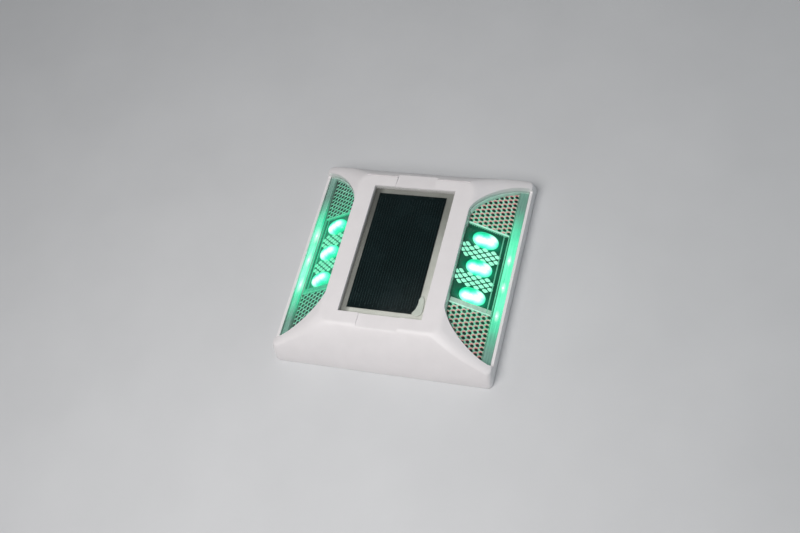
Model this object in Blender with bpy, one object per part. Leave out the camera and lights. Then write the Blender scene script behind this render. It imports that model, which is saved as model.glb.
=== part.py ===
"""Solar raised pavement marker: a square, low, truncated pyramid in white plastic.

+Z is up, the origin is the centre of the underside.  X runs across the two lens faces
(right is +X) and Y runs along them (front is -Y, rear is +Y).  All sizes below are in
millimetres and are turned into metres when a mesh is finished.
"""
import math

import bmesh
import bpy
from mathutils import Matrix, Vector

MM = 0.001
GAP = 0.3                       # clearance between pieces that rest on or sit in each other

# Housing
WIDTH = 118.0                   # along X
LENGTH = 119.5                  # along Y
HEIGHT = 24.3
PLATEAU_X = 32.0                # half sizes of the flat top
PLATEAU_Y = 44.0
WALL_TOP = 10.2                 # where the upright side wall turns into the slope
WALL = 2.6
ROOF = 2.6
FACE_BULGE = 1.36               # superellipse exponent of the front and rear faces, middle
HORN_BULGE = 1.45               # the same at the corners, which stand a little prouder
CORNER_R = 2.5                  # plan radius of the upright corners
PLATEAU_R = 6.0                 # plan radius of the top's corners

# Lens wells: everything optical lies parallel to the plane  LENS_RISE * x + z = constant
LENS_RISE = 0.6
LENS_FACE = 42.9                # the outer face of the lens
LENS_IN = 32.0
LENS_OUT = 57.5
LENS_STRAIGHT = 28.0            # half length of the straight inner edge
LENS_END = 51.6                 # half length of the lens at its outer edge
LENS_ARC = 1.45                 # superellipse exponent of the lens's swept ends
RIM_TOP = 8.0                   # the low lip outside the lens
LENS_SHEET = 1.4                # all of these are measured along Z
LENS_SKIRT = 4.1
LENS_EDGE = 1.2                 # skirt thickness
LENS_BLOCK_IN = 52.6            # the solid light guide strip starts here
WELL_WALL = 1.6
WELL_FLOOR = 37.0
PLATE_TOP = 38.5
PLATE_FOOT = 36.9
CARRIER_TOP = 36.6
CARRIER_WALL = 1.6

# Window and solar panel
WINDOW_X = 45.0
WINDOW_Y = 76.2
WINDOW_FLOOR = 20.3
WINDOW_LEDGE = 3.0
SURROUND_FOOT = 18.3
BACKING = (44.4, 75.6, 20.6, 21.8)      # width, length, underside, top
CELL = (37.5, 69.2, 22.1, 22.4)
CELL_SHIFT = -0.6               # the cell sits slightly off centre in the window
RESIN = (44.4, 75.6, 22.7, 23.4)
SURROUND = 2.2                  # thickness of the wall that frames the window below the roof
DRAIN_X = 11.1                  # half width of the drain ramps at the window's ends
DRAIN_DEPTH = {"front": (0.55, 0.55), "rear": (0.1, 0.9)}   # at the window, at the top's edge

# Light emitters
LED_R = 4.2
LED_FLAT = 0.62                 # the domes are oval, lower than they are wide
LED_LENGTH = 14.5
LED_AXIS = 37.8
LED_X = 41.7
LED_PITCH = 16.4
FIELD_Y = 23.7                  # half length of the bezel around the three emitters
BAND_IN = 5.3                   # the ribbed bands between the emitters
BAND_OUT = 11.1
BAND_X = (34.0, 50.2)
SLOT_X = (33.8, 49.2)           # the openings in the bezel that the emitters show through
SLOT_MARGIN = 0.9
BOARD_TOP = 33.6
BOARD_FOOT = 32.2
LED_BOARD_X = (34.6, 46.4)
LED_BOARD_Y = 21.8
LEAD_GATE_X = (30.0, 36.0)      # the leads leave the carrier through this gap in its wall
LEAD_GATE_Y = 20.5
RIB = 2.4                       # the carrier's cross ribs under the ends of the bezel

# Base
PLATE = 3.0
SHELF = 4.2
RECESS_WALL = 1.3               # the cover is this thick beside the base plate
POCKET = 12.5                   # keyed pockets for the bonding adhesive
POCKET_PITCH = 17.5
POCKET_DEPTH = 1.2
SCREW_X = 26.25
SCREW_Y = 53.6
SCREWS = [(SCREW_X, SCREW_Y), (SCREW_X, -SCREW_Y), (-SCREW_X, SCREW_Y), (-SCREW_X, -SCREW_Y)]
SCREW_HEAD_R = 2.8
SCREW_R = 1.4
BOSS_R = 3.1

# Electronics
MAIN_BOARD = (-8.0, 29.0, -38.0, 40.0, 9.0, 10.6)
BATTERY_X = -20.0
BATTERY_R = 7.1
BATTERY_L = 50.0
BUTTON_X = 8.75
BUTTON_Y = -26.25
BUTTON_R = 4.0
BUTTON_FACE = 0.8
BUTTON_TRAVEL = 1.2

SIDES = (("right", 1), ("left", -1))
ENDS = (("front", -1), ("rear", 1))


# ---------------------------------------------------------------- helpers

def clear_scene():
    for item in list(bpy.data.objects):
        bpy.data.objects.remove(item, do_unlink=True)


def material(name, colour, roughness, metallic=0.0, alpha=1.0):
    mat = bpy.data.materials.new(name)
    mat.use_nodes = True
    shader = mat.node_tree.nodes["Principled BSDF"]
    shader.inputs["Base Color"].default_value = (*colour, 1.0)
    shader.inputs["Roughness"].default_value = roughness
    shader.inputs["Metallic"].default_value = metallic
    shader.inputs["Alpha"].default_value = alpha
    return mat


def finish(name, bm, mat=None, smooth=0.0, matrix=None):
    """Turn a bmesh in millimetres into an object in metres."""
    bmesh.ops.recalc_face_normals(bm, faces=bm.faces)
    bmesh.ops.scale(bm, vec=(MM, MM, MM), verts=bm.verts)
    mesh = bpy.data.meshes.new(name)
    bm.to_mesh(mesh)
    bm.free()
    if smooth:
        mesh.shade_smooth()
        mesh.set_sharp_from_angle(angle=math.radians(smooth))
    obj = bpy.data.objects.new(name, mesh)
    bpy.context.collection.objects.link(obj)
    if mat:
        mesh.materials.append(mat)
    if matrix:
        obj.matrix_world = matrix
    return obj


def combine(target, tool, operation):
    """Join the tool to the target's mesh or cut it out, and drop the tool."""
    modifier = target.modifiers.new(operation.lower(), "BOOLEAN")
    modifier.operation = operation
    modifier.solver = "EXACT"
    modifier.object = tool
    bpy.context.view_layer.update()
    evaluated = target.evaluated_get(bpy.context.evaluated_depsgraph_get())
    result = bpy.data.meshes.new_from_object(evaluated)
    target.modifiers.remove(modifier)
    result.name = target.name
    target.data = result
    bpy.data.objects.remove(tool, do_unlink=True)


def cut(target, tool):
    combine(target, tool, "DIFFERENCE")


def join(target, tool):
    combine(target, tool, "UNION")


def at(x, y, z):
    return Matrix.Translation(Vector((x, y, z)) * MM)


def add_box(bm, x, y, z):
    """A box from three (low, high) pairs."""
    size = Matrix.Diagonal((x[1] - x[0], y[1] - y[0], z[1] - z[0], 1.0))
    centre = Matrix.Translation(((x[0] + x[1]) / 2, (y[0] + y[1]) / 2, (z[0] + z[1]) / 2))
    bmesh.ops.create_cube(bm, size=1.0, matrix=centre @ size)


def box(name, x, y, z, mat=None, bevel=0.0):
    bm = bmesh.new()
    add_box(bm, x, y, z)
    if bevel:
        bmesh.ops.bevel(bm, geom=bm.edges, offset=bevel, segments=1, affect="EDGES")
    return finish(name, bm, mat)


def add_cylinder(bm, x, y, z, radius, segments=24):
    centre = Matrix.Translation((x, y, (z[0] + z[1]) / 2))
    bmesh.ops.create_cone(bm, cap_ends=True, segments=segments, radius1=radius, radius2=radius,
                          depth=z[1] - z[0], matrix=centre)


def cylinders(name, places, z, radius, segments=24, mat=None):
    bm = bmesh.new()
    for x, y in places:
        add_cylinder(bm, x, y, z, radius, segments)
    return finish(name, bm, mat)


def add_turned(bm, profile, segments=24):
    """Spin (radius, z) points about the Z axis into a closed body."""
    points = [bm.verts.new((radius, 0.0, z)) for radius, z in profile]
    edges = [bm.edges.new(pair) for pair in zip(points, points[1:])]
    bmesh.ops.spin(bm, geom=points + edges, axis=(0, 0, 1), cent=(0, 0, 0),
                   angle=math.tau, steps=segments, use_merge=True)
    bmesh.ops.remove_doubles(bm, verts=bm.verts, dist=0.001)


def add_loft(bm, rings):
    """Skin a stack of rings that all have the same number of points, and cap both ends."""
    rows = [[bm.verts.new(point) for point in ring] for ring in rings]
    for low, high in zip(rows, rows[1:]):
        count = len(low)
        for i in range(count):
            k = (i + 1) % count
            bm.faces.new((low[i], low[k], high[k], high[i]))
    bm.faces.new(rows[0])
    bm.faces.new(rows[-1])


def add_prism(bm, outline, low, high):
    """A plan outline raised between two heights; each height is a number or f(x, y)."""
    def height(level, x, y):
        return level(x, y) if callable(level) else level
    foot = bm.faces.new([bm.verts.new((x, y, height(low, x, y))) for x, y in outline])
    raised = bmesh.ops.extrude_face_region(bm, geom=[foot])
    for vert in raised["geom"]:
        if isinstance(vert, bmesh.types.BMVert):
            vert.co.z = height(high, vert.co.x, vert.co.y)


def prism(name, outline, low, high, mat=None):
    bm = bmesh.new()
    add_prism(bm, outline, low, high)
    return finish(name, bm, mat)


def lens_plane(level):
    """Height of the plane parallel to the lens, at that level, on either side."""
    return lambda x, y: level - LENS_RISE * abs(x)


def shrink(outline, distance):
    """Move each side of a convex anticlockwise outline inwards (outwards if negative)."""
    moved = []
    count = len(outline)
    for i in range(count):
        a, b, c = (Vector(outline[(i + k) % count]) for k in (-1, 0, 1))
        before = (b - a).normalized()
        after = (c - b).normalized()
        n1 = Vector((-before.y, before.x))
        n2 = Vector((-after.y, after.x))
        moved.append(tuple(b + (n1 + n2) * (distance / (1.0 + n1.dot(n2)))))
    return moved


def mirrored(outline, side):
    return [(side * x, y) for x, y in outline]


# ---------------------------------------------------------------- shared shapes

def soft_minimum(a, b, blend):
    return 0.5 * (a + b - math.sqrt((a - b) ** 2 + blend * blend))


def half_width(z, inset=0.0, drop=0.0):
    """Half width of the housing at height z; inset and drop give the inside."""
    run = (WIDTH / 2 - PLATEAU_X) / (HEIGHT - WALL_TOP)
    slope = WIDTH / 2 - (z + drop - WALL_TOP) * run
    return soft_minimum(WIDTH / 2 - inset, slope, 0.6)


def half_length(z, x, inset=0.0, drop=0.0):
    """Half length at height z, fuller towards the corners."""
    toward = min(max((abs(x) - 25.0) / 20.0, 0.0), 1.0)
    power = FACE_BULGE + (HORN_BULGE - FACE_BULGE) * toward
    height = HEIGHT - drop
    rise = min(max(z / height, 0.0), 1.0)
    depth = LENGTH / 2 - PLATEAU_Y
    return PLATEAU_Y - inset + depth * (1.0 - rise ** power) ** (1.0 / power)


def housing_ring(z, inset=0.0, drop=0.0, trim=0.0):
    x_half = half_width(z, inset, drop) - trim
    toward = min(max((z - RIM_TOP) / (HEIGHT - RIM_TOP), 0.0), 1.0)
    radius = CORNER_R + (PLATEAU_R - CORNER_R) * toward
    centre = x_half - radius
    quarter = []
    for step in range(6):
        turn = math.radians(90.0 * step / 5)
        x = centre + radius * math.cos(turn)
        y = half_length(z, x, inset, drop) - trim - radius + radius * math.sin(turn)
        quarter.append((x, y))
    for share in (0.72, 0.4):
        x = share * centre
        quarter.append((x, half_length(z, x, inset, drop) - trim))
    middle = (0.0, half_length(z, 0.0, inset, drop) - trim)
    rear = quarter + [middle] + [(-x, y) for x, y in reversed(quarter)]
    front = [(-x, -y) for x, y in rear]
    return [(x, y, z) for x, y in rear + front]


def lens_outline():
    """Right lens in plan, anticlockwise: straight sides joined by swept ends."""
    reach = LENS_OUT - LENS_IN
    depth = LENS_END - LENS_STRAIGHT
    sweep = []
    steps = 9
    for step in range(steps + 1):
        turn = math.radians(90.0 * (1.0 - step / steps))
        x = LENS_OUT - reach * math.cos(turn) ** (2 / LENS_ARC)
        y = LENS_STRAIGHT + depth * math.sin(turn) ** (2 / LENS_ARC)
        sweep.append((x, y))
    return sweep + [(x, -y) for x, y in reversed(sweep)]


def zone_outline(inset, limit=LENS_BLOCK_IN - GAP):
    """The part of the lens outline that lies inside the light guide strip."""
    inner = shrink(lens_outline(), inset)
    upper = [point for point in inner if point[0] < limit and point[1] > 0]
    previous = inner[inner.index(upper[0]) - 1]
    share = (limit - upper[0][0]) / (previous[0] - upper[0][0])
    corner = (limit, upper[0][1] + share * (previous[1] - upper[0][1]))
    rear = [corner] + upper
    return rear + [(x, -y) for x, y in reversed(rear)]


# ---------------------------------------------------------------- housing

def cavity():
    levels = (SHELF, 6.0, 8.0, 10.0, 12.5, 15.0, 17.5, 19.5, HEIGHT - ROOF - 0.3)
    bm = bmesh.new()
    add_loft(bm, [housing_ring(z, WALL, ROOF) for z in levels])
    hollow = finish("cavity", bm)

    x = WINDOW_X / 2 + SURROUND
    y = WINDOW_Y / 2 + SURROUND
    cut(hollow, box("window_surround", (-x, x), (-y, y), (SURROUND_FOOT, HEIGHT)))

    for name, side in SIDES:
        outer = mirrored(shrink(lens_outline(), -WELL_WALL), side)
        cut(hollow, prism("well_wall", outer, lens_plane(WELL_FLOOR), HEIGHT + 5))

    cut(hollow, cylinders("bosses", SCREWS, (SHELF - 2.3, HEIGHT + 1), BOSS_R))

    recess = [(x, y) for x, y, z in housing_ring(PLATE, trim=RECESS_WALL)]
    join(hollow, prism("base_recess", recess, -1.0, SHELF + 0.05))
    return hollow


def make_top_cover(mat):
    levels = (0.0, 2.5, 5.0, 7.5, 9.3, 9.9, 10.5, 11.4, 13.5, 16.0, 18.5, 21.0, 23.0, 24.0)
    bm = bmesh.new()
    rings = [housing_ring(z) for z in levels]
    rings.append([(x, y, HEIGHT) for x, y, z in housing_ring(24.0, trim=0.8)])
    add_loft(bm, rings)
    cover = finish("top_cover", bm, mat)
    cut(cover, cavity())

    x = WINDOW_X / 2
    y = WINDOW_Y / 2
    cut(cover, box("window", (-x, x), (-y, y), (WINDOW_FLOOR, HEIGHT + 2)))
    x -= WINDOW_LEDGE
    y -= WINDOW_LEDGE
    cut(cover, box("window_opening", (-x, x), (-y, y), (WINDOW_FLOOR - 5, WINDOW_FLOOR + 1)))

    for end, sign in ENDS:
        near = sign * (WINDOW_Y / 2 - 1.0)
        far = sign * (PLATEAU_Y + 6.0)
        ramp = [(-DRAIN_X, near), (DRAIN_X, near), (DRAIN_X, far), (-DRAIN_X, far)]
        start, final = DRAIN_DEPTH[end]

        def floor(x, y, start=start, final=final):
            share = (abs(y) - WINDOW_Y / 2) / (PLATEAU_Y - WINDOW_Y / 2)
            return HEIGHT - start - (final - start) * max(share, 0.0)
        cut(cover, prism("drain_" + end, ramp, floor, HEIGHT + 2))

    for name, side in SIDES:
        well = mirrored(lens_outline(), side)
        cut(cover, prism("well_" + name, well, 2.0, HEIGHT + 5))
        lip = [(LENS_OUT - 1.0, -LENS_END), (60.0, -LENS_END), (60.0, LENS_END), (LENS_OUT - 1.0, LENS_END)]
        cut(cover, prism("lip_" + name, mirrored(lip, side), RIM_TOP, HEIGHT))

    cut(cover, cylinders("boss_holes", SCREWS, (SHELF - 1.7, 11.0), SCREW_R + GAP, 12))
    return cover


def pocket_places():
    """Centres of the underside pockets; the middle stays a flat pad."""
    rows = [POCKET_PITCH * (k + 0.5) for k in range(-3, 3)]
    for x in rows:
        for y in rows:
            middle = abs(x) < POCKET_PITCH and abs(y) < POCKET_PITCH
            button = math.dist((x, y), (BUTTON_X, BUTTON_Y)) < 1.0
            if not middle and not button:
                yield x, y


def board_posts():
    x0, x1, y0, y1 = MAIN_BOARD[:4]
    return [(x, y) for x in (x0 + 3.0, x1 - 3.0) for y in (y0 + 3.0, y1 - 3.0)]


def make_base_plate(mat):
    outline = [(x, y) for x, y, z in housing_ring(PLATE, trim=RECESS_WALL + GAP)]
    plate = prism("base_plate", outline, 0.0, PLATE, mat)

    half = POCKET / 2
    bm = bmesh.new()
    for x, y in pocket_places():
        add_box(bm, (x - half, x + half), (y - half, y + half), (-1.0, POCKET_DEPTH))
    cut(plate, finish("pockets", bm))

    cut(plate, cylinders("counterbores", SCREWS, (-1.0, 1.9), SCREW_HEAD_R + GAP, 20))
    cut(plate, cylinders("screw_holes", SCREWS, (1.0, PLATE + 1), SCREW_R + GAP, 12))
    cut(plate, cylinders("button_hole", [(BUTTON_X, BUTTON_Y)], (-1.0, PLATE + 1), BUTTON_R + 0.4))

    top = MAIN_BOARD[4] - GAP
    join(plate, cylinders("posts", board_posts(), (PLATE - 1, top), 2.3, 12))

    bm = bmesh.new()
    for y in (-18.0, 18.0):
        add_box(bm, (BATTERY_X - 8.5, BATTERY_X + 8.5), (y - 1.2, y + 1.2), (PLATE - 1, 8.0))
    cradle = finish("cradle", bm)
    bm = bmesh.new()
    add_cylinder(bm, 0, 0, (-30.0, 30.0), BATTERY_R + GAP, 32)
    lay = at(BATTERY_X, 0, PLATE + 0.5 + BATTERY_R) @ Matrix.Rotation(math.radians(90), 4, "X")
    cut(cradle, finish("cradle_bore", bm, matrix=lay))
    join(plate, cradle)

    holes = [board_posts()[0], board_posts()[3]]
    cut(plate, cylinders("post_holes", holes, (3.5, top + 1), 0.9 + GAP, 10))
    return plate


def make_base_seal(mat):
    outer = [(x, y) for x, y, z in housing_ring(PLATE, trim=RECESS_WALL + GAP)]
    seal = prism("base_seal", outer, PLATE + GAP, SHELF - GAP, mat)
    inner = [(x, y) for x, y, z in housing_ring(PLATE, trim=RECESS_WALL + GAP + 1.4)]
    cut(seal, prism("seal_inside", inner, PLATE - 1, SHELF + 1))
    return seal


def cross_recess(width, span, z):
    bm = bmesh.new()
    add_box(bm, (-span, span), (-width, width), z)
    bar = finish("recess_bar", bm)
    bm = bmesh.new()
    add_box(bm, (-width, width), (-span, span), z)
    join(bar, finish("recess_cross", bm))
    return bar


def screw_mesh():
    """Pan head at the bottom, shank upwards, cross recess in the head."""
    bm = bmesh.new()
    add_turned(bm, [(0, 0.4), (SCREW_HEAD_R - 0.4, 0.4), (SCREW_HEAD_R, 0.8), (SCREW_HEAD_R, 1.6),
                    (SCREW_R, 1.6), (SCREW_R, 9.6), (0.5, 10.4), (0, 10.4)], 20)
    screw = finish("screw_shape", bm, smooth=40)
    cut(screw, cross_recess(0.35, 1.5, (0.0, 1.2)))
    mesh = screw.data
    bpy.data.objects.remove(screw, do_unlink=True)
    return mesh


def place_copy(name, mesh, matrix):
    obj = bpy.data.objects.new(name, mesh)
    bpy.context.collection.objects.link(obj)
    obj.matrix_world = matrix
    return obj


def make_base_screws(mat):
    mesh = screw_mesh()
    mesh.materials.append(mat)
    for end, sy in ENDS:
        for name, sx in SIDES:
            place_copy(f"base_screw_{end}_{name}", mesh, at(sx * SCREW_X, sy * SCREW_Y, 0))


# ---------------------------------------------------------------- solar panel

def make_solar_panel(backing_mat, cell_mat, resin_mat):
    for name, size, shift, mat in (("solar_backing_board", BACKING, 0.0, backing_mat),
                                   ("solar_cell", CELL, CELL_SHIFT, cell_mat),
                                   ("solar_window", RESIN, 0.0, resin_mat)):
        x, y, low, high = size
        box(name, (shift - x / 2, shift + x / 2), (-y / 2, y / 2), (low, high), mat)


# ---------------------------------------------------------------- optics

def make_lens(name, side, mat):
    outline = shrink(lens_outline(), GAP)
    lens = prism("lens_" + name, mirrored(outline, side),
                 lens_plane(LENS_FACE - LENS_SKIRT), lens_plane(LENS_FACE), mat)
    hollow = [(min(x, LENS_BLOCK_IN), y) for x, y in zone_outline(GAP + LENS_EDGE)]
    cut(lens, prism("lens_hollow", mirrored(hollow, side), -5.0, lens_plane(LENS_FACE - LENS_SHEET)))
    return lens


def make_reflectors(name, side, mat):
    start = FIELD_Y + GAP
    zone = [(x, y) for x, y in zone_outline(GAP + 0.2) if y > start]
    outline = [(zone[0][0], start)] + zone + [(zone[-1][0], start)]
    for end, sign in ENDS:
        turned = [(side * x, sign * y) for x, y in outline]
        prism(f"reflector_{name}_{end}", turned, lens_plane(PLATE_FOOT), lens_plane(PLATE_TOP), mat)


def led_places():
    return (("front", -LED_PITCH), ("middle", 0.0), ("rear", LED_PITCH))


def make_bezel(name, side, mat):
    inner = LENS_IN + GAP + 0.2
    outer = LENS_BLOCK_IN - GAP
    outline = [(inner, -FIELD_Y), (outer, -FIELD_Y), (outer, FIELD_Y), (inner, FIELD_Y)]
    bezel = prism("led_bezel_" + name, mirrored(outline, side),
                  lens_plane(PLATE_FOOT), lens_plane(PLATE_TOP), mat)
    half = LED_R + SLOT_MARGIN
    near, far = SLOT_X
    for end, y in led_places():
        slot = [(near, y - half), (far, y - half), (far, y + half), (near, y + half)]
        cut(bezel, prism("slot", mirrored(slot, side), 0.0, HEIGHT))
    for sign in (-1, 1):
        low, high = sorted((sign * BAND_IN, sign * BAND_OUT))
        band = [(BAND_X[0], low), (BAND_X[1], low), (BAND_X[1], high), (BAND_X[0], high)]
        join(bezel, prism("band", mirrored(band, side), lens_plane(PLATE_TOP - 0.8),
                          lens_plane(PLATE_TOP + 0.5)))
    return bezel


def make_carrier(name, side, mat):
    foot = PLATE + GAP
    outer = zone_outline(GAP + 0.3)
    carrier = prism("optic_carrier_" + name, mirrored(outer, side), foot, lens_plane(CARRIER_TOP), mat)
    inside = zone_outline(GAP + 0.3 + CARRIER_WALL, LENS_BLOCK_IN - GAP - CARRIER_WALL)
    edge = FIELD_Y + 1.2
    near = LENS_IN + GAP + 0.3 + CARRIER_WALL
    far = LENS_BLOCK_IN - GAP - CARRIER_WALL
    inner = edge - RIB
    middle = [(near, -inner), (far, -inner), (far, inner), (near, inner)]
    cut(carrier, prism("carrier_middle", mirrored(middle, side), 0.0, HEIGHT))
    rear = [point for point in inside if point[1] > edge]
    rear = [(rear[0][0], edge)] + rear + [(rear[-1][0], edge)]
    for end, sign in ENDS:
        turned = [(side * x, sign * y) for x, y in rear]
        cut(carrier, prism("carrier_end", turned, 0.0, HEIGHT))
    low, high = sorted(side * x for x in LEAD_GATE_X)
    cut(carrier, box("lead_gate", (low, high), (-LEAD_GATE_Y, LEAD_GATE_Y), (6.0, HEIGHT)))
    return carrier


def slope_frame(side, x, y, level):
    """Axes on the lens plane: local +X runs down the slope outwards, local +Z along its normal."""
    angle = math.atan(LENS_RISE)
    place = at(x, y, level - LENS_RISE * x)
    if side < 0:
        place = at(-x, y, level - LENS_RISE * x) @ Matrix.Rotation(math.pi, 4, "Z")
    return place @ Matrix.Rotation(angle, 4, "Y")


def led_mesh():
    """An oval domed lamp lying along local X, dome at +X, with two bent leads at its back."""
    half = LED_LENGTH / 2
    straight = half - LED_R
    profile = [(0, -half), (LED_R + 0.45, -half), (LED_R + 0.45, 1.1 - half), (LED_R, 1.1 - half)]
    for step in range(6):
        turn = math.radians(90.0 * step / 5)
        profile.append((LED_R * math.cos(turn), straight + LED_R * math.sin(turn)))
    bm = bmesh.new()
    add_turned(bm, profile, 20)
    bmesh.ops.rotate(bm, verts=bm.verts, cent=(0, 0, 0), matrix=Matrix.Rotation(math.radians(90), 3, "Y"))
    bmesh.ops.scale(bm, verts=bm.verts, vec=(1.0, 1.0, LED_FLAT))
    lamp = finish("led_shape", bm, smooth=35)
    for y in (-1.27, 1.27):
        bm = bmesh.new()
        add_box(bm, (-half - 1.2, 0.5 - half), (y - 0.3, y + 0.3), (-0.3, 0.3))
        join(lamp, finish("lead", bm))
        bm = bmesh.new()
        add_box(bm, (-half - 1.2, -half - 0.6), (y - 0.3, y + 0.3), (-3.2, 0.1))
        join(lamp, finish("lead_foot", bm))
    mesh = lamp.data
    bpy.data.objects.remove(lamp, do_unlink=True)
    return mesh


def make_led_board(name, side, mat):
    near, far = LED_BOARD_X
    y = LED_BOARD_Y
    outline = [(near, -y), (far, -y), (far, y), (near, y)]
    prism("led_board_" + name, mirrored(outline, side),
          lens_plane(BOARD_FOOT), lens_plane(BOARD_TOP), mat)


def make_optics(lens_mat, reflector_mat, bezel_mat, carrier_mat, led_mat, board_mat):
    lamp = led_mesh()
    lamp.materials.append(led_mat)
    for name, side in SIDES:
        make_lens(name, side, lens_mat)
        make_reflectors(name, side, reflector_mat)
        make_bezel(name, side, bezel_mat)
        make_carrier(name, side, carrier_mat)
        make_led_board(name, side, board_mat)
        for end, y in led_places():
            place_copy(f"led_{name}_{end}", lamp, slope_frame(side, LED_X, y, LED_AXIS))


# ---------------------------------------------------------------- electronics

def make_main_board(mat):
    x0, x1, y0, y1, low, high = MAIN_BOARD
    board = box("main_board", (x0, x1), (y0, y1), (low, high), mat)
    holes = [board_posts()[0], board_posts()[3]]
    cut(board, cylinders("board_holes", holes, (low - 1, high + 1), 0.9 + GAP, 10))


def make_board_screws(mat):
    top = MAIN_BOARD[5]
    bm = bmesh.new()
    add_turned(bm, [(0, -6.0), (0.9, -5.4), (0.9, GAP), (1.9, GAP), (1.9, 1.2), (1.4, 1.6), (0, 1.6)], 12)
    screw = finish("board_screw_shape", bm, mat, smooth=40)
    mesh = screw.data
    bpy.data.objects.remove(screw, do_unlink=True)
    for name, (x, y) in zip(("front", "rear"), (board_posts()[0], board_posts()[3])):
        place_copy("board_screw_" + name, mesh, at(x, y, top))


def make_components(chip_mat, coil_mat, can_mat):
    top = MAIN_BOARD[5] + GAP
    box("controller_chip", (8.0, 14.0), (-4.0, 4.0), (top, top + 1.6), chip_mat, 0.2)

    bm = bmesh.new()
    add_turned(bm, [(0, 0), (4.0, 0), (4.0, 1.0), (3.0, 1.6), (3.0, 3.4), (4.0, 4.0), (4.0, 5.0), (0, 5.0)])
    finish("inductor", bm, coil_mat, smooth=30, matrix=at(20.0, 14.0, top))

    bm = bmesh.new()
    add_turned(bm, [(0, 0), (2.7, 0), (3.1, 0.5), (2.8, 1.0), (3.1, 1.5), (3.1, 5.8), (2.7, 6.2), (0, 6.2)])
    finish("capacitor", bm, can_mat, smooth=30, matrix=at(20.0, -14.0, top))


def make_battery(sleeve_mat, tab_mat):
    centre = PLATE + 0.5 + BATTERY_R
    half = BATTERY_L / 2
    bm = bmesh.new()
    add_turned(bm, [(0, -half), (BATTERY_R - 0.6, -half), (BATTERY_R, -half + 0.6),
                    (BATTERY_R, half - 1.2), (BATTERY_R - 0.8, half - 0.6), (2.6, half - 0.6),
                    (2.6, half), (0, half)])
    lay = at(BATTERY_X, 0, centre) @ Matrix.Rotation(math.radians(-90), 4, "X")
    finish("battery_cell", bm, sleeve_mat, smooth=30, matrix=lay)
    for end, sign in ENDS:
        low, high = sorted((sign * (half + GAP), sign * (half + GAP + 0.4)))
        box("battery_tab_" + end, (BATTERY_X - 3.0, BATTERY_X + 3.0), (low, high),
            (centre - 3.0, centre + 5.0), tab_mat)


def make_switch(body_mat, button_mat):
    low = MAIN_BOARD[4] - GAP
    box("switch_body", (BUTTON_X - 3.0, BUTTON_X + 3.0), (BUTTON_Y - 3.0, BUTTON_Y + 3.0),
        (low - 2.9, low), body_mat, 0.2)
    bm = bmesh.new()
    seat = PLATE + GAP
    add_turned(bm, [(0, BUTTON_FACE), (BUTTON_R - 0.5, BUTTON_FACE), (BUTTON_R, BUTTON_FACE + 0.5),
                    (BUTTON_R, seat), (BUTTON_R + 1.2, seat), (BUTTON_R + 1.2, seat + 0.7),
                    (1.5, seat + 0.7), (1.5, low - 2.9 - BUTTON_TRAVEL - 0.2),
                    (0, low - 2.9 - BUTTON_TRAVEL - 0.2)])
    finish("power_button", bm, button_mat, smooth=40, matrix=at(BUTTON_X, BUTTON_Y, 0))


def smooth_route(points, steps=4):
    """Catmull-Rom points through a hand-chosen route."""
    ends = [points[0]] + list(points) + [points[-1]]
    route = []
    for a, b, c, d in zip(ends, ends[1:], ends[2:], ends[3:]):
        a, b, c, d = (Vector(p) for p in (a, b, c, d))
        for step in range(steps):
            t = step / steps
            route.append(0.5 * (2 * b + (c - a) * t + (2 * a - 5 * b + 4 * c - d) * t * t
                                + (3 * b - a - 3 * c + d) * t ** 3))
    route.append(Vector(points[-1]))
    return route


def make_wire(name, points, diameter, mat):
    route = smooth_route(points)
    curve = bpy.data.curves.new(name, "CURVE")
    curve.dimensions = "3D"
    curve.bevel_depth = diameter / 2 * MM
    curve.bevel_resolution = 2
    curve.use_fill_caps = True
    spline = curve.splines.new("POLY")
    spline.points.add(len(route) - 1)
    for point, place in zip(spline.points, route):
        point.co = (*(place * MM), 1.0)
    curve.materials.append(mat)
    obj = bpy.data.objects.new(name, curve)
    bpy.context.collection.objects.link(obj)


def make_wires(red, black):
    pad = MAIN_BOARD[5] + 1.0
    panel = BACKING[2] - 0.8
    make_wire("solar_wire_positive", [(6, 24, panel), (6, 24, 17.5), (9, 26, 14), (11, 28, pad + 2),
                                      (11, 28, pad)], 1.2, red)
    make_wire("solar_wire_negative", [(-2, 24, panel), (-2, 24, 17.5), (1, 26, 14), (3, 28, pad + 2),
                                      (3, 28, pad)], 1.2, black)
    tab = BATTERY_L / 2 + 1.4
    make_wire("battery_wire_positive", [(-20, tab, 14), (-18, tab + 2, 14.5), (-12, tab + 3, 14.5),
                                        (-5, tab + 3, 13.5), (-4, tab + 3, pad)], 1.2, red)
    make_wire("battery_wire_negative", [(-20, -tab, 14), (-18, -tab - 2, 14.5), (-12, -tab - 3, 14.5),
                                        (-5, -tab - 3, 13.5), (-4, -tab - 3, pad)], 1.2, black)
    make_wire("led_wire_right", [(35.8, 8, 13.4), (34.0, 8, 14.2), (29.5, 7, 14.6), (26.0, 6, 13.5),
                                 (25.0, 6, pad)], 1.4, black)
    make_wire("led_wire_left", [(-35.8, 8, 13.4), (-34.0, 9, 14.2), (-31.0, 20, 14.6),
                                (-29.0, 34, 14.0), (-18.0, 36, 13.5), (-6, 35, 13.5), (-4, 35, pad)],
              1.4, black)


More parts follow.
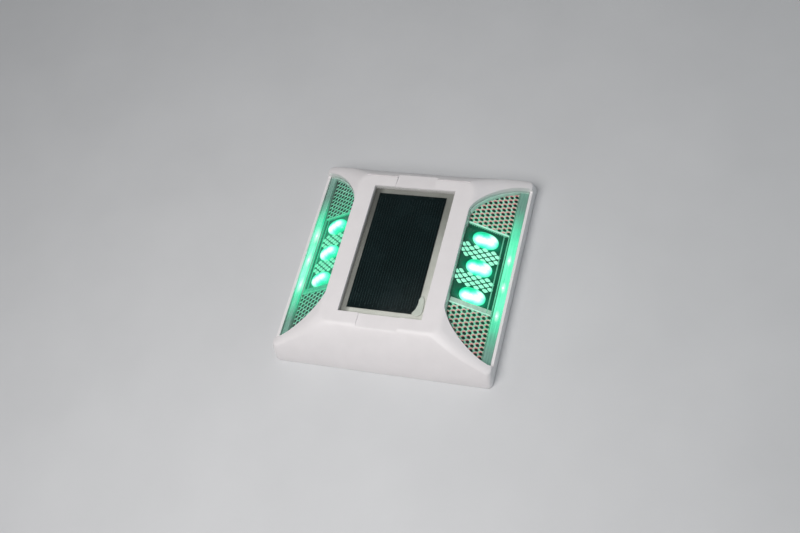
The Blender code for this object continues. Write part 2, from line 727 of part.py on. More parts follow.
def main():
    clear_scene()
    white = material("white_plastic", (0.86, 0.84, 0.82), 0.35)
    base_white = material("base_plastic", (0.80, 0.79, 0.77), 0.5)
    seal_rubber = material("seal_rubber", (0.03, 0.03, 0.03), 0.8)
    steel = material("steel", (0.62, 0.62, 0.60), 0.35, 1.0)
    backing = material("panel_backing", (0.70, 0.69, 0.64), 0.5)
    silicon = material("silicon_cell", (0.01, 0.02, 0.035), 0.25)
    resin = material("clear_resin", (0.90, 0.93, 0.92), 0.08, alpha=0.3)
    clear = material("clear_lens", (0.80, 0.96, 0.90), 0.05, alpha=0.35)
    prism_film = material("prism_film", (0.70, 0.78, 0.74), 0.2, 0.4)
    bezel = material("bezel_plastic", (0.02, 0.16, 0.10), 0.3)
    carrier = material("carrier_plastic", (0.55, 0.58, 0.56), 0.5)
    lamp = material("lamp_epoxy", (0.10, 0.95, 0.50), 0.15)
    board = material("circuit_board", (0.02, 0.20, 0.08), 0.4)
    black = material("black_plastic", (0.02, 0.02, 0.02), 0.45)
    ferrite = material("ferrite", (0.08, 0.08, 0.08), 0.6)
    sleeve = material("battery_sleeve", (0.05, 0.20, 0.45), 0.35)
    nickel = material("nickel", (0.70, 0.68, 0.62), 0.3, 1.0)
    button = material("button_rubber", (0.10, 0.10, 0.11), 0.6)
    wire_red = material("wire_red", (0.60, 0.03, 0.02), 0.45)
    wire_black = material("wire_black", (0.02, 0.02, 0.02), 0.45)

    make_top_cover(white)
    make_base_plate(base_white)
    make_base_seal(seal_rubber)
    make_base_screws(steel)
    make_solar_panel(backing, silicon, resin)
    make_optics(clear, prism_film, bezel, carrier, lamp, board)
    make_main_board(board)
    make_board_screws(steel)
    make_components(black, ferrite, nickel)
    make_battery(sleeve, nickel)
    make_switch(black, button)
    make_wires(wire_red, wire_black)


main()
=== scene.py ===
"""Looks of the solar raised pavement marker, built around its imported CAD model.

Shapes are worked out in millimetres, in the CAD's own frame, and turned into metres when a
mesh is finished.  Everything optical lies parallel to the plane  SLOPE * |x| + z = constant,
and such a plane is named by that constant, its level.
"""
import math

import bmesh
import bpy
from mathutils import Matrix, Vector


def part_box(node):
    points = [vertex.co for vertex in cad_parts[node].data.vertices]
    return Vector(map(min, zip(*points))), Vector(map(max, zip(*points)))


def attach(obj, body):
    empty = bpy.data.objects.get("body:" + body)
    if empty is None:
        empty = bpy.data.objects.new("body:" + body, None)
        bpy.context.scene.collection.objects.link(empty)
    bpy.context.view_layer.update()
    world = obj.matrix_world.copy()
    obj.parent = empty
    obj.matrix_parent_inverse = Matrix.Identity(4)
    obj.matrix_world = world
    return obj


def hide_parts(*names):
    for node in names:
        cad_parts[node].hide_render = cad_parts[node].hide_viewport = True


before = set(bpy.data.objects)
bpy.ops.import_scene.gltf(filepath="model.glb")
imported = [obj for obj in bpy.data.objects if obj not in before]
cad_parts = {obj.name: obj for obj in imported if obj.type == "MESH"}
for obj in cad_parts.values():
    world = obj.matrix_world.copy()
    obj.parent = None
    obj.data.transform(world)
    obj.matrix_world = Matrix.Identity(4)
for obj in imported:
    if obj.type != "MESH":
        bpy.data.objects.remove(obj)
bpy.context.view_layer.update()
MM = 0.001
GAP = 0.3  # between neighbouring pieces

SIDES = (("right", 1), ("left", -1))
ENDS = (("front", -1), ("rear", 1))
LEDS = ("front", "middle", "rear")


def cad_box(node):
    """((x0, x1), (y0, y1), (z0, z1)) of a CAD node in millimetres."""
    low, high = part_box(node)
    return [(a / MM, b / MM) for a, b in zip(low, high)]


def middle_of(node):
    return [(low + high) / 2 for low, high in cad_box(node)]


# ---- housing sizes
(_, HALF_WIDTH), (_, HALF_LENGTH), (_, HEIGHT) = cad_box("top_cover")
PLATEAU_X = 32.0  # half sizes of the flat top
PLATEAU_Y = 44.0
WALL_TOP = 10.2  # where the upright side wall turns into the slope
WALL_BLEND = 0.6
WALL = 2.6
ROOF = 2.6
FACE_BULGE = 1.36  # superellipse exponent of the end faces, in the middle
HORN_BULGE = 1.45  # the same at the corners
CORNER_R = 2.5
PLATEAU_R = 6.0
EDGE_R = 0.28
WINDOW_X = 45.0
WINDOW_Y = 76.2
WINDOW_LEDGE = 3.0
WINDOW_FLOOR = 20.3
SURROUND = 2.2  # wall around the window
SURROUND_FOOT = 18.3
DRAIN_X = 11.1
DRAIN_DEPTH = {"front": (0.55, 0.6), "rear": (0.1, 0.9)}  # at the window, at the top's edge
STEP_Y = (44.2, 44.9)  # a fine groove behind the top's rear edge
STEP_DEPTH = 0.9

# ---- lens and optics sizes
SLOPE = 0.6
LENS = cad_box("lens_right")
LENS_IN = LENS[0][0] - GAP
LENS_OUT = LENS[0][1] + GAP
LENS_STRAIGHT = 28.0  # half length of its inner edge
LENS_END = 51.6  # and of its outer edge
LENS_ARC = 1.45  # superellipse exponent of its ends
LENS_FACE = 42.9  # level of its outer face
LENS_SHEET = 1.4
LENS_BACK = LENS_FACE - LENS_SHEET
LIP_TOP = 8.0
RIM_THICK = 0.5
RIM_ROUND = 0.12
GUIDE_IN = 52.4  # the light guide strip starts here
GUIDE_DROP = 0.4  # from the lens sheet to the strip
FLUTE_PITCH = 1.2
FLUTE_DEPTH = 0.16
PIP_SIZE = (0.4, 0.62, 0.3)
PIPS = {"right": ((55.0, 8.7), (55.0, -7.3), (55.0, -23.5)),
        "left": ((54.2, 12.0), (54.6, -3.0), (54.6, -18.5))}

WELL_WALL = 1.6  # left standing around each lens, down to the level WELL_FOOT
WELL_FOOT = 37.0

FILM_TOP = 39.0  # level of the honeycomb's ridges
CELL_COLUMN = 2.29  # honeycomb pitch across the slope and along it
CELL_ROW = 2.52
CELL_X = 42.2
CELL_Y = 27.26
CELL_STEPS = {1: ((0.80, 0.02), (0.62, 0.45), (0.50, 0.9), (0.0, 1.2)),  # share of the cell, depth
              -1: ((0.86, 0.02), (0.74, 0.3), (0.64, 0.6), (0.0, 0.75))}

FIELD_FLOOR = 38.1  # level of the ground around the emitters
FIELD_X = (LENS_IN + 0.45, GUIDE_IN - 0.3)
FIELD_Y = cad_box("led_bezel_right")[1][1]
FIELD_RISE = 2.0
LEDGE_Y = 20.6  # the pale ledge at the front end starts here
LEAN = 0.38  # shift inwards of a raised point, seen from over the lens
CUP_X = 7.3  # half sizes of the cups around the emitters
CUP_Y = 5.3
CUP_DEPTH = 1.5
FRAME_X = (49.5, 49.9)  # the inner of the two frame lines
FRAME_HIGH = 0.9
TEETH = 18
KNURL_X = 2.07  # pitch of the knurled bands
KNURL_Y = 1.55
KNURL_START = 32.1
KNURL_MIDDLE = 7.95
KNURL_REACH = 3.3  # half width of a band
KNURL_POWER = 1.55  # 1 is an ellipse, 2 a diamond
KNURL_PROFILE = ((0.70, -0.1), (0.69, 0.14), (0.62, 0.34), (0.48, 0.44), (0.0, 0.48))  # share, rise

LED_SPOTS = [middle_of(f"led_right_{end}")[:2] for end in LEDS]
LED_X = 41.6
LED_LEVEL = 38.0
LED_HALF = (7.1, 4.35, 2.75)
LED_SQUARE = 2.25  # 2 is an ellipsoid, more is fuller
DEEP = 400.0  # half size of a patch of light that reaches through a piece

# centre and half sizes of the hot patches in a lamp, in its own axes
LAMP_LOBES = {
    "right": (((-3.8, -1.6, 2.0), (5.0, 3.8, 9.0)), ((-1.2, -1.6, 2.0), (5.8, 3.5, 9.0)),
              ((1.8, -1.1, 2.0), (6.4, 4.3, 9.0)), ((3.4, 0.8, 2.0), (4.6, 4.6, 9.0))),
    "left": (((2.6, 1.9, 1.5), (5.2, 3.9, 9.0)), ((0.2, 1.0, 1.5), (5.8, 3.7, 9.0)),
             ((-2.6, -0.1, 1.5), (5.6, 3.9, 9.0)))}

# ---- panel and base sizes
CELL = cad_box("solar_cell")
FINGER_PITCH = 1.4
FINGER_WIDE = 0.13
FINGER_HIGH = 0.03

PLATE = 3.0
SHELF = 4.2
RECESS_WALL = 1.3
BOSS_R = 3.1
SCREW_R = 1.4
SCREW_HEAD_R = 2.8
THREAD_DEPTH = 0.35
THREAD_PITCH = 0.55
THREAD_RISE = 0.27
SCREWS = {f"{end}_{side}": middle_of(f"base_screw_{end}_{side}")[:2]
          for end, _ in ENDS for side, _ in SIDES}

# ---- finishes
# ridge, shadow, glow colour and glow of the honeycomb, the glow being painted lamp light: its plain flanks,
# then its flanks with a painted highlight
COMBS = {
    "right": (((0.62, 0.88, 0.76), (0.36, 0.64, 0.52), (0.2, 0.85, 0.55), 0.16),
              ((1.0, 0.26, 0.3), (0.86, 0.34, 0.36), (0.85, 0.55, 0.5), 0.27)),
    "left": (((0.28, 0.62, 0.48), (0.12, 0.38, 0.27), (0.08, 0.78, 0.46), 0.22),
             ((0.46, 0.74, 0.62), (0.26, 0.55, 0.43), (0.15, 0.85, 0.52), 0.22))}
# dark tone and painted lamp light near the emitters; in the pits the dark tone is painted shade
PITS = {"right": ((0.006, 0.02, 0.014), (0.0, 0.11, 0.055)),
        "left": ((0.004, 0.02, 0.013), (0.0, 0.09, 0.045))}
GROUNDS = {"right": ((0.003, 0.05, 0.028), (0.0, 0.36, 0.19)),
           "left": ((0.0, 0.11, 0.06), (0.0, 0.5, 0.27))}
# colour, glow colour and glow of what stands on the ground
FIELD_PARTS = {
    "right": {"knurl": ((0.56, 0.84, 0.72), (0.3, 0.95, 0.66), 0.62),
              "frame": ((0.3, 0.52, 0.42), (0.12, 0.62, 0.4), 0.4),
              "ledge": ((0.72, 0.72, 0.68), (0.22, 0.55, 0.38), 0.25),
              "line": ((0.75, 0.88, 0.82), (0.55, 0.95, 0.78), 0.55)},
    "left": {"knurl": ((0.34, 0.78, 0.58), (0.12, 0.9, 0.52), 0.5),
             "frame": ((0.12, 0.55, 0.36), (0.02, 0.7, 0.38), 0.5),
             "ledge": ((0.1, 0.5, 0.33), (0.02, 0.55, 0.3), 0.4),
             "line": ((0.2, 0.66, 0.45), (0.05, 0.75, 0.42), 0.5)}}
# hottest colour, strength, half length of the light and reach of each pip's flare
GUIDES = {"right": ((0.1, 1.0, 0.55), 0.86, 56.0, 3.6), "left": ((0.22, 1.0, 0.66), 0.9, 51.0, 5.2)}

# colour, roughness, shade, grain, rounding and CAD nodes
MOULDED = {
    "base_plastic": ((0.72, 0.71, 0.69), 0.5, 0.93, 0.03, 0.18, ["base_plate"]),
    "seal_rubber": ((0.025, 0.025, 0.026), 0.75, 0.8, 0.05, 0.2, ["base_seal"]),
    "carrier_plastic": ((0.5, 0.54, 0.52), 0.5, 0.9, 0.02, 0.15,
                        ["optic_carrier_left", "optic_carrier_right"]),
    "black_plastic": ((0.02, 0.02, 0.022), 0.45, 0.8, 0.02, 0.1, ["controller_chip", "switch_body"]),
    "ferrite": ((0.07, 0.07, 0.075), 0.6, 0.75, 0.05, 0.12, ["inductor"]),
    "battery_sleeve": ((0.04, 0.17, 0.42), 0.3, 0.85, 0.01, 0.15, ["battery_cell"]),
    "wire_red": ((0.52, 0.025, 0.015), 0.42, 0.85, 0.01, 0.0,
                 ["solar_wire_positive", "battery_wire_positive"]),
    "wire_black": ((0.02, 0.02, 0.02), 0.42, 0.8, 0.01, 0.0,
                   ["solar_wire_negative", "battery_wire_negative", "led_wire_left", "led_wire_right"])}
WARM = (1.0, 0.975, 0.965)


# ---- mesh helpers

def new_object(name, data, matrix=None):
    obj = bpy.data.objects.new(name, data)
    bpy.context.collection.objects.link(obj)
    if matrix:
        obj.matrix_world = matrix
    return obj


def finish(name, bm, mats=(), smooth=30.0, matrix=None):
    """Turn a bmesh in millimetres into an object in metres."""
    bmesh.ops.recalc_face_normals(bm, faces=bm.faces)
    bmesh.ops.scale(bm, vec=(MM, MM, MM), verts=bm.verts)
    mesh = bpy.data.meshes.new(name)
    bm.to_mesh(mesh)
    bm.free()
    if smooth:
        mesh.shade_smooth()
        mesh.set_sharp_from_angle(angle=math.radians(smooth))
    for mat in mats:
        mesh.materials.append(mat)
    return new_object(name, mesh, matrix)


def combine(target, tool, operation):
    """Join the tool to the target's mesh or cut it out, and drop the tool."""
    modifier = target.modifiers.new(operation.lower(), "BOOLEAN")
    modifier.operation = operation
    modifier.solver = "EXACT"
    modifier.object = tool
    bake_modifiers(target)
    bpy.data.objects.remove(tool, do_unlink=True)


def bake_modifiers(obj):
    bpy.context.view_layer.update()
    evaluated = obj.evaluated_get(bpy.context.evaluated_depsgraph_get())
    result = bpy.data.meshes.new_from_object(evaluated)
    obj.modifiers.clear()
    result.name = obj.name
    obj.data = result


def cut(target, tool):
    combine(target, tool, "DIFFERENCE")


def join(target, tool):
    combine(target, tool, "UNION")


def soften(obj, width, angle=35.0):
    """Round the edges sharper than the angle and even out the shading."""
    bevel = obj.modifiers.new("edges", "BEVEL")
    bevel.width = width * MM
    bevel.segments = 2
    bevel.limit_method = "ANGLE"
    bevel.angle_limit = math.radians(angle)
    bevel.use_clamp_overlap = True
    bevel.miter_outer = "MITER_ARC"
    normals = obj.modifiers.new("shading", "WEIGHTED_NORMAL")
    normals.keep_sharp = True
    normals.weight = 80


def merge_slivers(obj, distance):
    """Join points that a cut leaves too close together for a bevel."""
    bm = bmesh.new()
    bm.from_mesh(obj.data)
    bmesh.ops.remove_doubles(bm, verts=bm.verts, dist=distance * MM)
    bmesh.ops.dissolve_degenerate(bm, edges=bm.edges, dist=0.1 * distance * MM)
    bm.to_mesh(obj.data)
    bm.free()


def add_box(bm, x, y, z):
    size = Matrix.Diagonal((x[1] - x[0], y[1] - y[0], z[1] - z[0], 1.0))
    centre = Matrix.Translation(((x[0] + x[1]) / 2, (y[0] + y[1]) / 2, (z[0] + z[1]) / 2))
    bmesh.ops.create_cube(bm, size=1.0, matrix=centre @ size)


def box(name, x, y, z):
    bm = bmesh.new()
    add_box(bm, x, y, z)
    return finish(name, bm)


def cylinders(name, places, z, radius, segments=32):
    bm = bmesh.new()
    for x, y in places:
        centre = Matrix.Translation((x, y, (z[0] + z[1]) / 2))
        bmesh.ops.create_cone(bm, cap_ends=True, segments=segments, radius1=radius, radius2=radius,
                              depth=z[1] - z[0], matrix=centre)
    return finish(name, bm)


def add_turned(bm, profile, segments):
    """Spin (radius, z) points about the Z axis into a closed body."""
    points = [bm.verts.new((radius, 0.0, z)) for radius, z in profile]
    edges = [bm.edges.new(pair) for pair in zip(points, points[1:])]
    bmesh.ops.spin(bm, geom=points + edges, axis=(0, 0, 1), cent=(0, 0, 0),
                   angle=math.tau, steps=segments, use_merge=True)
    bmesh.ops.remove_doubles(bm, verts=bm.verts, dist=0.001)


def add_loft(bm, rings):
    """Skin a stack of rings of equal length and cap both ends."""
    rows = [[bm.verts.new(point) for point in ring] for ring in rings]
    for low, high in zip(rows, rows[1:]):
        for i in range(len(low)):
            k = (i + 1) % len(low)
            bm.faces.new((low[i], low[k], high[k], high[i]))
    bm.faces.new(rows[0])
    bm.faces.new(rows[-1])


def add_prism(bm, outline, low, high):
    """A plan outline raised between two heights; the lower one may be f(x, y)."""
    foot = bm.faces.new([bm.verts.new((x, y, low(x, y) if callable(low) else low)) for x, y in outline])
    for vert in bmesh.ops.extrude_face_region(bm, geom=[foot])["geom"]:
        if isinstance(vert, bmesh.types.BMVert):
            vert.co.z = high


def prism(name, outline, low, high):
    bm = bmesh.new()
    add_prism(bm, outline, low, high)
    return finish(name, bm)


def even_steps(low, high, count):
    return [low + (high - low) * i / count for i in range(count + 1)]


def signed_power(value, power):
    return math.copysign(abs(value) ** power, value)


def add_sheet(bm, xs, ys, level):
    """An open sheet of squares through f(x, y)."""
    rows = [[bm.verts.new((x, y, level(x, y))) for x in xs] for y in ys]
    for low, high in zip(rows, rows[1:]):
        for i in range(len(xs) - 1):
            bm.faces.new((low[i], low[i + 1], high[i + 1], high[i]))


def round_edges(bm, edges, width):
    bmesh.ops.bevel(bm, geom=edges, offset=width, segments=2, affect="EDGES", profile=0.5)


def rectangle(x0, x1, y0, y1):
    return [(x0, y0), (x1, y0), (x1, y1), (x0, y1)]


def mirrored(outline, side):
    return [(side * x, y) for x, y in outline]


def shrink(outline, distance):
    """Move the sides of a convex anticlockwise outline inwards."""
    moved = []
    count = len(outline)
    for i in range(count):
        a, b, c = (Vector(outline[(i + k) % count]) for k in (-1, 0, 1))
        before = (b - a).normalized()
        after = (c - b).normalized()
        n1 = Vector((-before.y, before.x))
        n2 = Vector((-after.y, after.x))
        moved.append(tuple(b + (n1 + n2) * (distance / (1.0 + n1.dot(n2)))))
    return moved


def place(obj, body="housing", replaces=()):
    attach(obj, body)
    if replaces:
        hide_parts(*replaces)
    return obj


# ---- materials

class Paint:
    """A Principled material and short calls for the nodes that feed it."""

    def __init__(self, name, roughness=0.4, metallic=0.0):
        self.mat = bpy.data.materials.new(name)
        self.mat.use_nodes = True
        self.tree = self.mat.node_tree
        self.shader = self.tree.nodes["Principled BSDF"]
        self.set("Roughness", roughness)
        self.set("Metallic", metallic)
        self.coords = self.node("TexCoord").outputs["Object"]

    def feed(self, socket, value):
        """Link a socket to an output, or set it; a colour comes without its alpha."""
        if isinstance(value, bpy.types.NodeSocket):
            self.tree.links.new(value, socket)
        elif socket.type == "RGBA":
            socket.default_value = (*value, 1.0)
        else:
            socket.default_value = value

    def set(self, name, value):
        self.feed(self.shader.inputs[name], value)

    def node(self, kind, inputs=None, **settings):
        """A new node with its settings, and its inputs by name or place."""
        made = self.tree.nodes.new("ShaderNode" + kind)
        for key, value in settings.items():
            setattr(made, key, value)
        for key, value in (inputs or {}).items():
            self.feed(made.inputs[key], value)
        return made

    def math(self, operation, *values, clamp=False):
        return self.node("Math", dict(enumerate(values)), operation=operation, use_clamp=clamp).outputs[0]

    def mapped(self, centre=(0, 0, 0), scale=(1, 1, 1)):
        """Object coordinates in millimetres from a centre, divided by a size on each axis."""
        inputs = {"Vector": self.coords, "Location": Vector(centre) * MM, "Scale": Vector(scale) * MM}
        return self.node("Mapping", inputs, vector_type="TEXTURE").outputs[0]

    def noise(self, size, detail=3.0, stretch=(1, 1, 1)):
        """Noise with features of about that size in millimetres."""
        spots = self.mapped(scale=[size * s for s in stretch])
        inputs = {"Vector": spots, "Scale": 1.0, "Detail": detail, "Roughness": 0.55}
        return self.node("TexNoise", inputs).outputs["Fac"]

    def axis(self, name):
        """The X, Y or Z object coordinate in millimetres."""
        return self.node("SeparateXYZ", {0: self.mapped()}).outputs[name]

    def union(self, lobes):
        """1 at the centre of each (centre, size) lobe, falling to 0 at its edge."""
        strongest = None
        for centre, size in lobes:
            inputs = {0: self.mapped(centre, size)}
            lobe = self.node("TexGradient", inputs, gradient_type="SPHERICAL").outputs["Fac"]
            strongest = self.math("MAXIMUM", strongest, lobe) if strongest else lobe
        return strongest

    def ramp(self, value, *stops):
        """Colours (or greys) along a value from (place, colour) stops."""
        made = self.node("ValToRGB", {"Fac": value})
        marks = made.color_ramp.elements
        while len(marks) < len(stops):
            marks.new(0.5)
        for mark, (spot, colour) in zip(marks, stops):
            mark.position = spot
            mark.color = (*colour, 1.0) if isinstance(colour, tuple) else (colour, colour, colour, 1.0)
        return made.outputs["Color"]

    def drift(self, size, first, second, low=0.3):
        return self.ramp(self.noise(size), (low, first), (1 - low, second))

    def mix(self, share, a, b, blend="MIX"):
        inputs = {"Factor": share, "A": a, "B": b}
        return self.node("Mix", inputs, data_type="RGBA", blend_type=blend).outputs["Result"]

    def spread(self, value, low, high):
        return self.node("MapRange", {"Value": value, "To Min": low, "To Max": high}).outputs[0]

    def colour(self, value):
        self.set("Base Color", value)

    def rough(self, value, low, high):
        self.set("Roughness", self.spread(value, low, high))

    def bump(self, *heights):
        """Stack bumps, each a (height, depth in millimetres) pair."""
        below = {}
        for height, depth in heights:
            made = self.node("Bump", {"Distance": depth * MM, "Height": height, **below})
            below = {"Normal": made.outputs[0]}
        self.set("Normal", made.outputs[0])

    def surface(self, gloss_size, low, high, grain_size, depth):
        self.rough(self.noise(gloss_size), low, high)
        self.bump((self.noise(grain_size, 2.0), depth))

    def moulding(self, roughness, grain):
        """Uneven gloss and a fine orange-peel grain over slow waves."""
        self.rough(self.noise(3.0), roughness - 0.06, roughness + 0.06)
        self.bump((self.noise(0.7, 2.0), grain), (self.noise(6.0, 2.0), grain * 2))

    def glow(self, colour, strength=1.0):
        self.set("Emission Color", colour)
        self.set("Emission Strength", strength)


def moulded(name, colour, roughness, shade, grain=0.02):
    paint = Paint(name, roughness)
    paint.colour(paint.drift(9.0, tuple(c * shade for c in colour), colour, 0.35))
    paint.moulding(roughness, grain)
    return paint.mat


def clear_pane(name, tint, roughness, facing):
    """Clear plastic with a gloss that grows at a grazing angle."""
    paint = Paint(name)
    paler = tuple(1 - (1 - c) * 0.4 for c in tint)
    clear = paint.node("BsdfTransparent", {"Color": paint.drift(14.0, tint, paler)})
    gloss = paint.shader = paint.node("BsdfAnisotropic", {"Color": (1.0, 1.0, 1.0)})
    paint.surface(4.0, roughness, roughness + 0.05, 5.0, 0.02)
    weight = paint.node("LayerWeight", {"Blend": 0.5})
    grazing = paint.math("POWER", weight.outputs["Facing"], 5.0)
    shown = paint.math("ADD", paint.math("MULTIPLY", grazing, 0.85), facing)
    both = paint.node("MixShader", {0: shown, 1: clear.outputs[0], 2: gloss.outputs[0]})
    paint.feed(paint.tree.nodes["Material Output"].inputs["Surface"], both.outputs[0])
    return paint.mat


def from_field(paint):
    """0 along the emitters, rising to 1 at the lens's ends."""
    away = paint.math("ABSOLUTE", paint.axis("Y"))
    return paint.math("DIVIDE", away, LENS_END, clamp=True)


def film(name, ridge, shadow, glow_colour, glow):
    """Ridges of the honeycomb, with painted lamp light in their colour and glow at the end nearer to the
    emitters.
    """
    paint = Paint(name, 0.25)
    tone = paint.mix(paint.ramp(paint.noise(1.6, 2.0), (0.35, 0.0), (0.65, 1.0)), ridge, shadow)
    near = paint.ramp(from_field(paint), (0.42, 1.0), (0.62, 0.55), (0.9, 0.12))
    paint.colour(paint.mix(near, tone, paint.mix(0.5, tone, glow_colour)))
    paint.surface(1.5, 0.18, 0.35, 0.5, 0.01)
    paint.glow(paint.mix(near, tone, glow_colour), glow)
    return paint.mat


def pit(name, dark, lit):
    """Floors of the honeycomb's cells, near black as painted shade, with painted lamp light near the
    emitters.
    """
    paint = Paint(name, 0.3)
    near = paint.ramp(from_field(paint), (0.42, 1.0), (0.75, 0.0))
    tone = paint.mix(near, dark, lit)
    paint.colour(paint.mix(paint.noise(2.0, 2.0), tone, dark))
    paint.surface(1.2, 0.2, 0.4, 0.4, 0.01)
    paint.glow(tone, 0.25)
    return paint.mat


# ---- housing

def smooth_step(low, high, value):
    t = min(max((value - low) / (high - low), 0.0), 1.0)
    return t * t * (3 - 2 * t)


def half_width(z, inset=0.0, drop=0.0):
    """Half width at height z: the upright wall, blending into the slope."""
    run = (HALF_WIDTH - PLATEAU_X) / (HEIGHT - WALL_TOP)
    slope = HALF_WIDTH - (z + drop - WALL_TOP) * run
    wall = HALF_WIDTH - inset
    return 0.5 * (wall + slope - math.hypot(wall - slope, WALL_BLEND))


def half_length(z, x, inset=0.0, drop=0.0):
    """Half length at height z, fuller towards the corners."""
    power = FACE_BULGE + (HORN_BULGE - FACE_BULGE) * smooth_step(25.0, 45.0, abs(x))
    rise = min(max(z / (HEIGHT - drop), 0.0), 1.0)
    depth = HALF_LENGTH - PLATEAU_Y
    return PLATEAU_Y - inset + depth * (1.0 - rise ** power) ** (1.0 / power)


def housing_ring(z, inset=0.0, drop=0.0, trim=0.0, corner_steps=8, side_steps=9):
    """The housing's outline at height z, inside a wall and under a roof, or trimmed back."""
    x_half = half_width(z, inset, drop) - trim
    toward = min(max((z - LIP_TOP) / (HEIGHT - LIP_TOP), 0.0), 1.0)
    radius = CORNER_R + (PLATEAU_R - CORNER_R) * toward
    centre = x_half - radius
    quarter = []
    for step in range(corner_steps + 1):
        turn = math.radians(90.0 * step / corner_steps)
        x = centre + radius * math.cos(turn)
        y = half_length(z, x, inset, drop) - trim - radius + radius * math.sin(turn)
        quarter.append((x, y))
    for step in range(1, side_steps + 1):
        x = centre * (1 - step / side_steps)
        quarter.append((x, half_length(z, x, inset, drop) - trim))
    rear = quarter + [(-x, y) for x, y in reversed(quarter[:-1])]
    return [(x, y, z) for x, y in rear + [(-x, -y) for x, y in rear]]


def lens_outline(steps=22):
    """Right lens in plan, anticlockwise: straight sides joined by swept ends."""
    reach = LENS_OUT - LENS_IN
    depth = LENS_END - LENS_STRAIGHT
    sweep = []
    for step in range(steps + 1):
        turn = math.radians(90.0 * (1.0 - step / steps))
        x = LENS_OUT - reach * math.cos(turn) ** (2 / LENS_ARC)
        y = LENS_STRAIGHT + depth * math.sin(turn) ** (2 / LENS_ARC)
        sweep.append((x, y))
    return sweep + [(x, -y) for x, y in reversed(sweep)]


def cavity():
    """The hollow inside the cover, around its bosses and wells."""
    levels = (SHELF, 6.0, 8.0, 10.0, 12.5, 15.0, 17.5, 19.5, HEIGHT - ROOF - 0.3)
    bm = bmesh.new()
    add_loft(bm, [housing_ring(z, WALL, ROOF, corner_steps=5, side_steps=3) for z in levels])
    hollow = finish("cavity", bm)
    x, y = WINDOW_X / 2 + SURROUND, WINDOW_Y / 2 + SURROUND
    cut(hollow, box("window_surround", (-x, x), (-y, y), (SURROUND_FOOT, HEIGHT)))
    for _, side in SIDES:
        outer = mirrored(shrink(lens_outline(9), -WELL_WALL), side)
        cut(hollow, prism("well_wall", outer, lambda x, y: WELL_FOOT - SLOPE * abs(x), HEIGHT + 5))
    cut(hollow, cylinders("bosses", SCREWS.values(), (SHELF - 2.3, HEIGHT + 1), BOSS_R))
    ring = housing_ring(PLATE, trim=RECESS_WALL, corner_steps=5, side_steps=3)
    join(hollow, prism("base_recess", [(x, y) for x, y, z in ring], -1.0, SHELF + 0.05))
    return hollow


def make_cover(mat):
    bm = bmesh.new()
    levels = [0.5, 2.0, 3.5, 5.0, 6.5, 8.4, 9.4, 9.9, 10.3, 10.8, 11.5]
    levels += [13.0 + 1.1 * k for k in range(9)] + [22.6, 23.2, 23.8]
    rings = [[(x, y, 0.0) for x, y, z in housing_ring(0.5, trim=0.45)],
             [(x, y, 0.15) for x, y, z in housing_ring(0.5, trim=0.12)]]
    rings += [housing_ring(z) for z in levels]
    rings.append([(x, y, HEIGHT) for x, y, z in housing_ring(23.8, trim=1.5)])
    add_loft(bm, rings)
    cover = finish("cover_shell", bm, [mat])
    cut(cover, cavity())

    x = WINDOW_X / 2
    y = WINDOW_Y / 2
    cut(cover, box("window", (-x, x), (-y, y), (WINDOW_FLOOR, HEIGHT + 2)))
    x -= WINDOW_LEDGE
    y -= WINDOW_LEDGE
    cut(cover, box("opening", (-x, x), (-y, y), (WINDOW_FLOOR - 5, WINDOW_FLOOR + 1)))
    for end, sign in ENDS:
        start, final = DRAIN_DEPTH[end]

        def floor(x, y):
            share = (abs(y) - WINDOW_Y / 2) / (PLATEAU_Y - WINDOW_Y / 2)
            return HEIGHT - start - (final - start) * max(share, 0.0)
        ramp = rectangle(-DRAIN_X, DRAIN_X, sign * (WINDOW_Y / 2 - 1.0), sign * (PLATEAU_Y + 6.0))
        cut(cover, prism("drain", ramp, floor, HEIGHT + 2))
    for _, side in SIDES:
        low, high = sorted((side * (DRAIN_X + 0.1), side * (PLATEAU_X - 3.0)))
        cut(cover, box("rear_step", (low, high), STEP_Y, (HEIGHT - STEP_DEPTH, HEIGHT + 1)))
        cut(cover, prism("well", mirrored(lens_outline(), side), 2.0, HEIGHT + 5))
        lip = rectangle(LENS_OUT - 1.0, HALF_WIDTH + 1.0, -LENS_END, LENS_END)
        cut(cover, prism("lip", mirrored(lip, side), LIP_TOP, HEIGHT))
    cut(cover, cylinders("boss_holes", SCREWS.values(), (SHELF - 1.7, 11.0), SCREW_R + GAP, 16))
    merge_slivers(cover, 0.02)
    soften(cover, EDGE_R)
    place(cover, replaces=["top_cover"])


# ---- optics

def lay(bm, side, sign=1):
    """Tilt a body drawn as (x, y, level) onto the right lens, or mirror it to the other places."""
    for vert in bm.verts:
        vert.co.z -= SLOPE * vert.co.x
        vert.co.x *= side
        vert.co.y *= sign


def walk_round(edges):
    """The points of one closed loop of edges, in order."""
    beside = {}
    for edge in edges:
        a, b = edge.verts
        beside.setdefault(a, []).append(b)
        beside.setdefault(b, []).append(a)
    start = edges[0].verts[0]
    route = [start]
    before, here = start, beside[start][0]
    while here is not start:
        route.append(here)
        first, second = beside[here]
        before, here = here, second if first is before else first
    return route


def close_sheet(bm, outline, foot):
    """Clip an open sheet to a convex outline and close it down to a flat underside."""
    for a, b in zip(outline, outline[1:] + outline[:1]):
        run = Vector((b[0] - a[0], b[1] - a[1], 0.0))
        if run.length < 1e-6:
            continue
        everything = bm.verts[:] + bm.edges[:] + bm.faces[:]
        bmesh.ops.bisect_plane(bm, geom=everything, dist=1e-4, plane_co=(a[0], a[1], 0.0),
                               plane_no=(run.y, -run.x, 0.0), clear_outer=True)
    rim = [edge for edge in bm.edges if edge.is_boundary]
    skirt = bmesh.ops.extrude_edge_only(bm, edges=rim)["geom"]
    for vert in skirt:
        if isinstance(vert, bmesh.types.BMVert):
            vert.co.z = foot
    loop = [edge for edge in skirt if isinstance(edge, bmesh.types.BMEdge)]
    bm.faces.new(walk_round(loop))


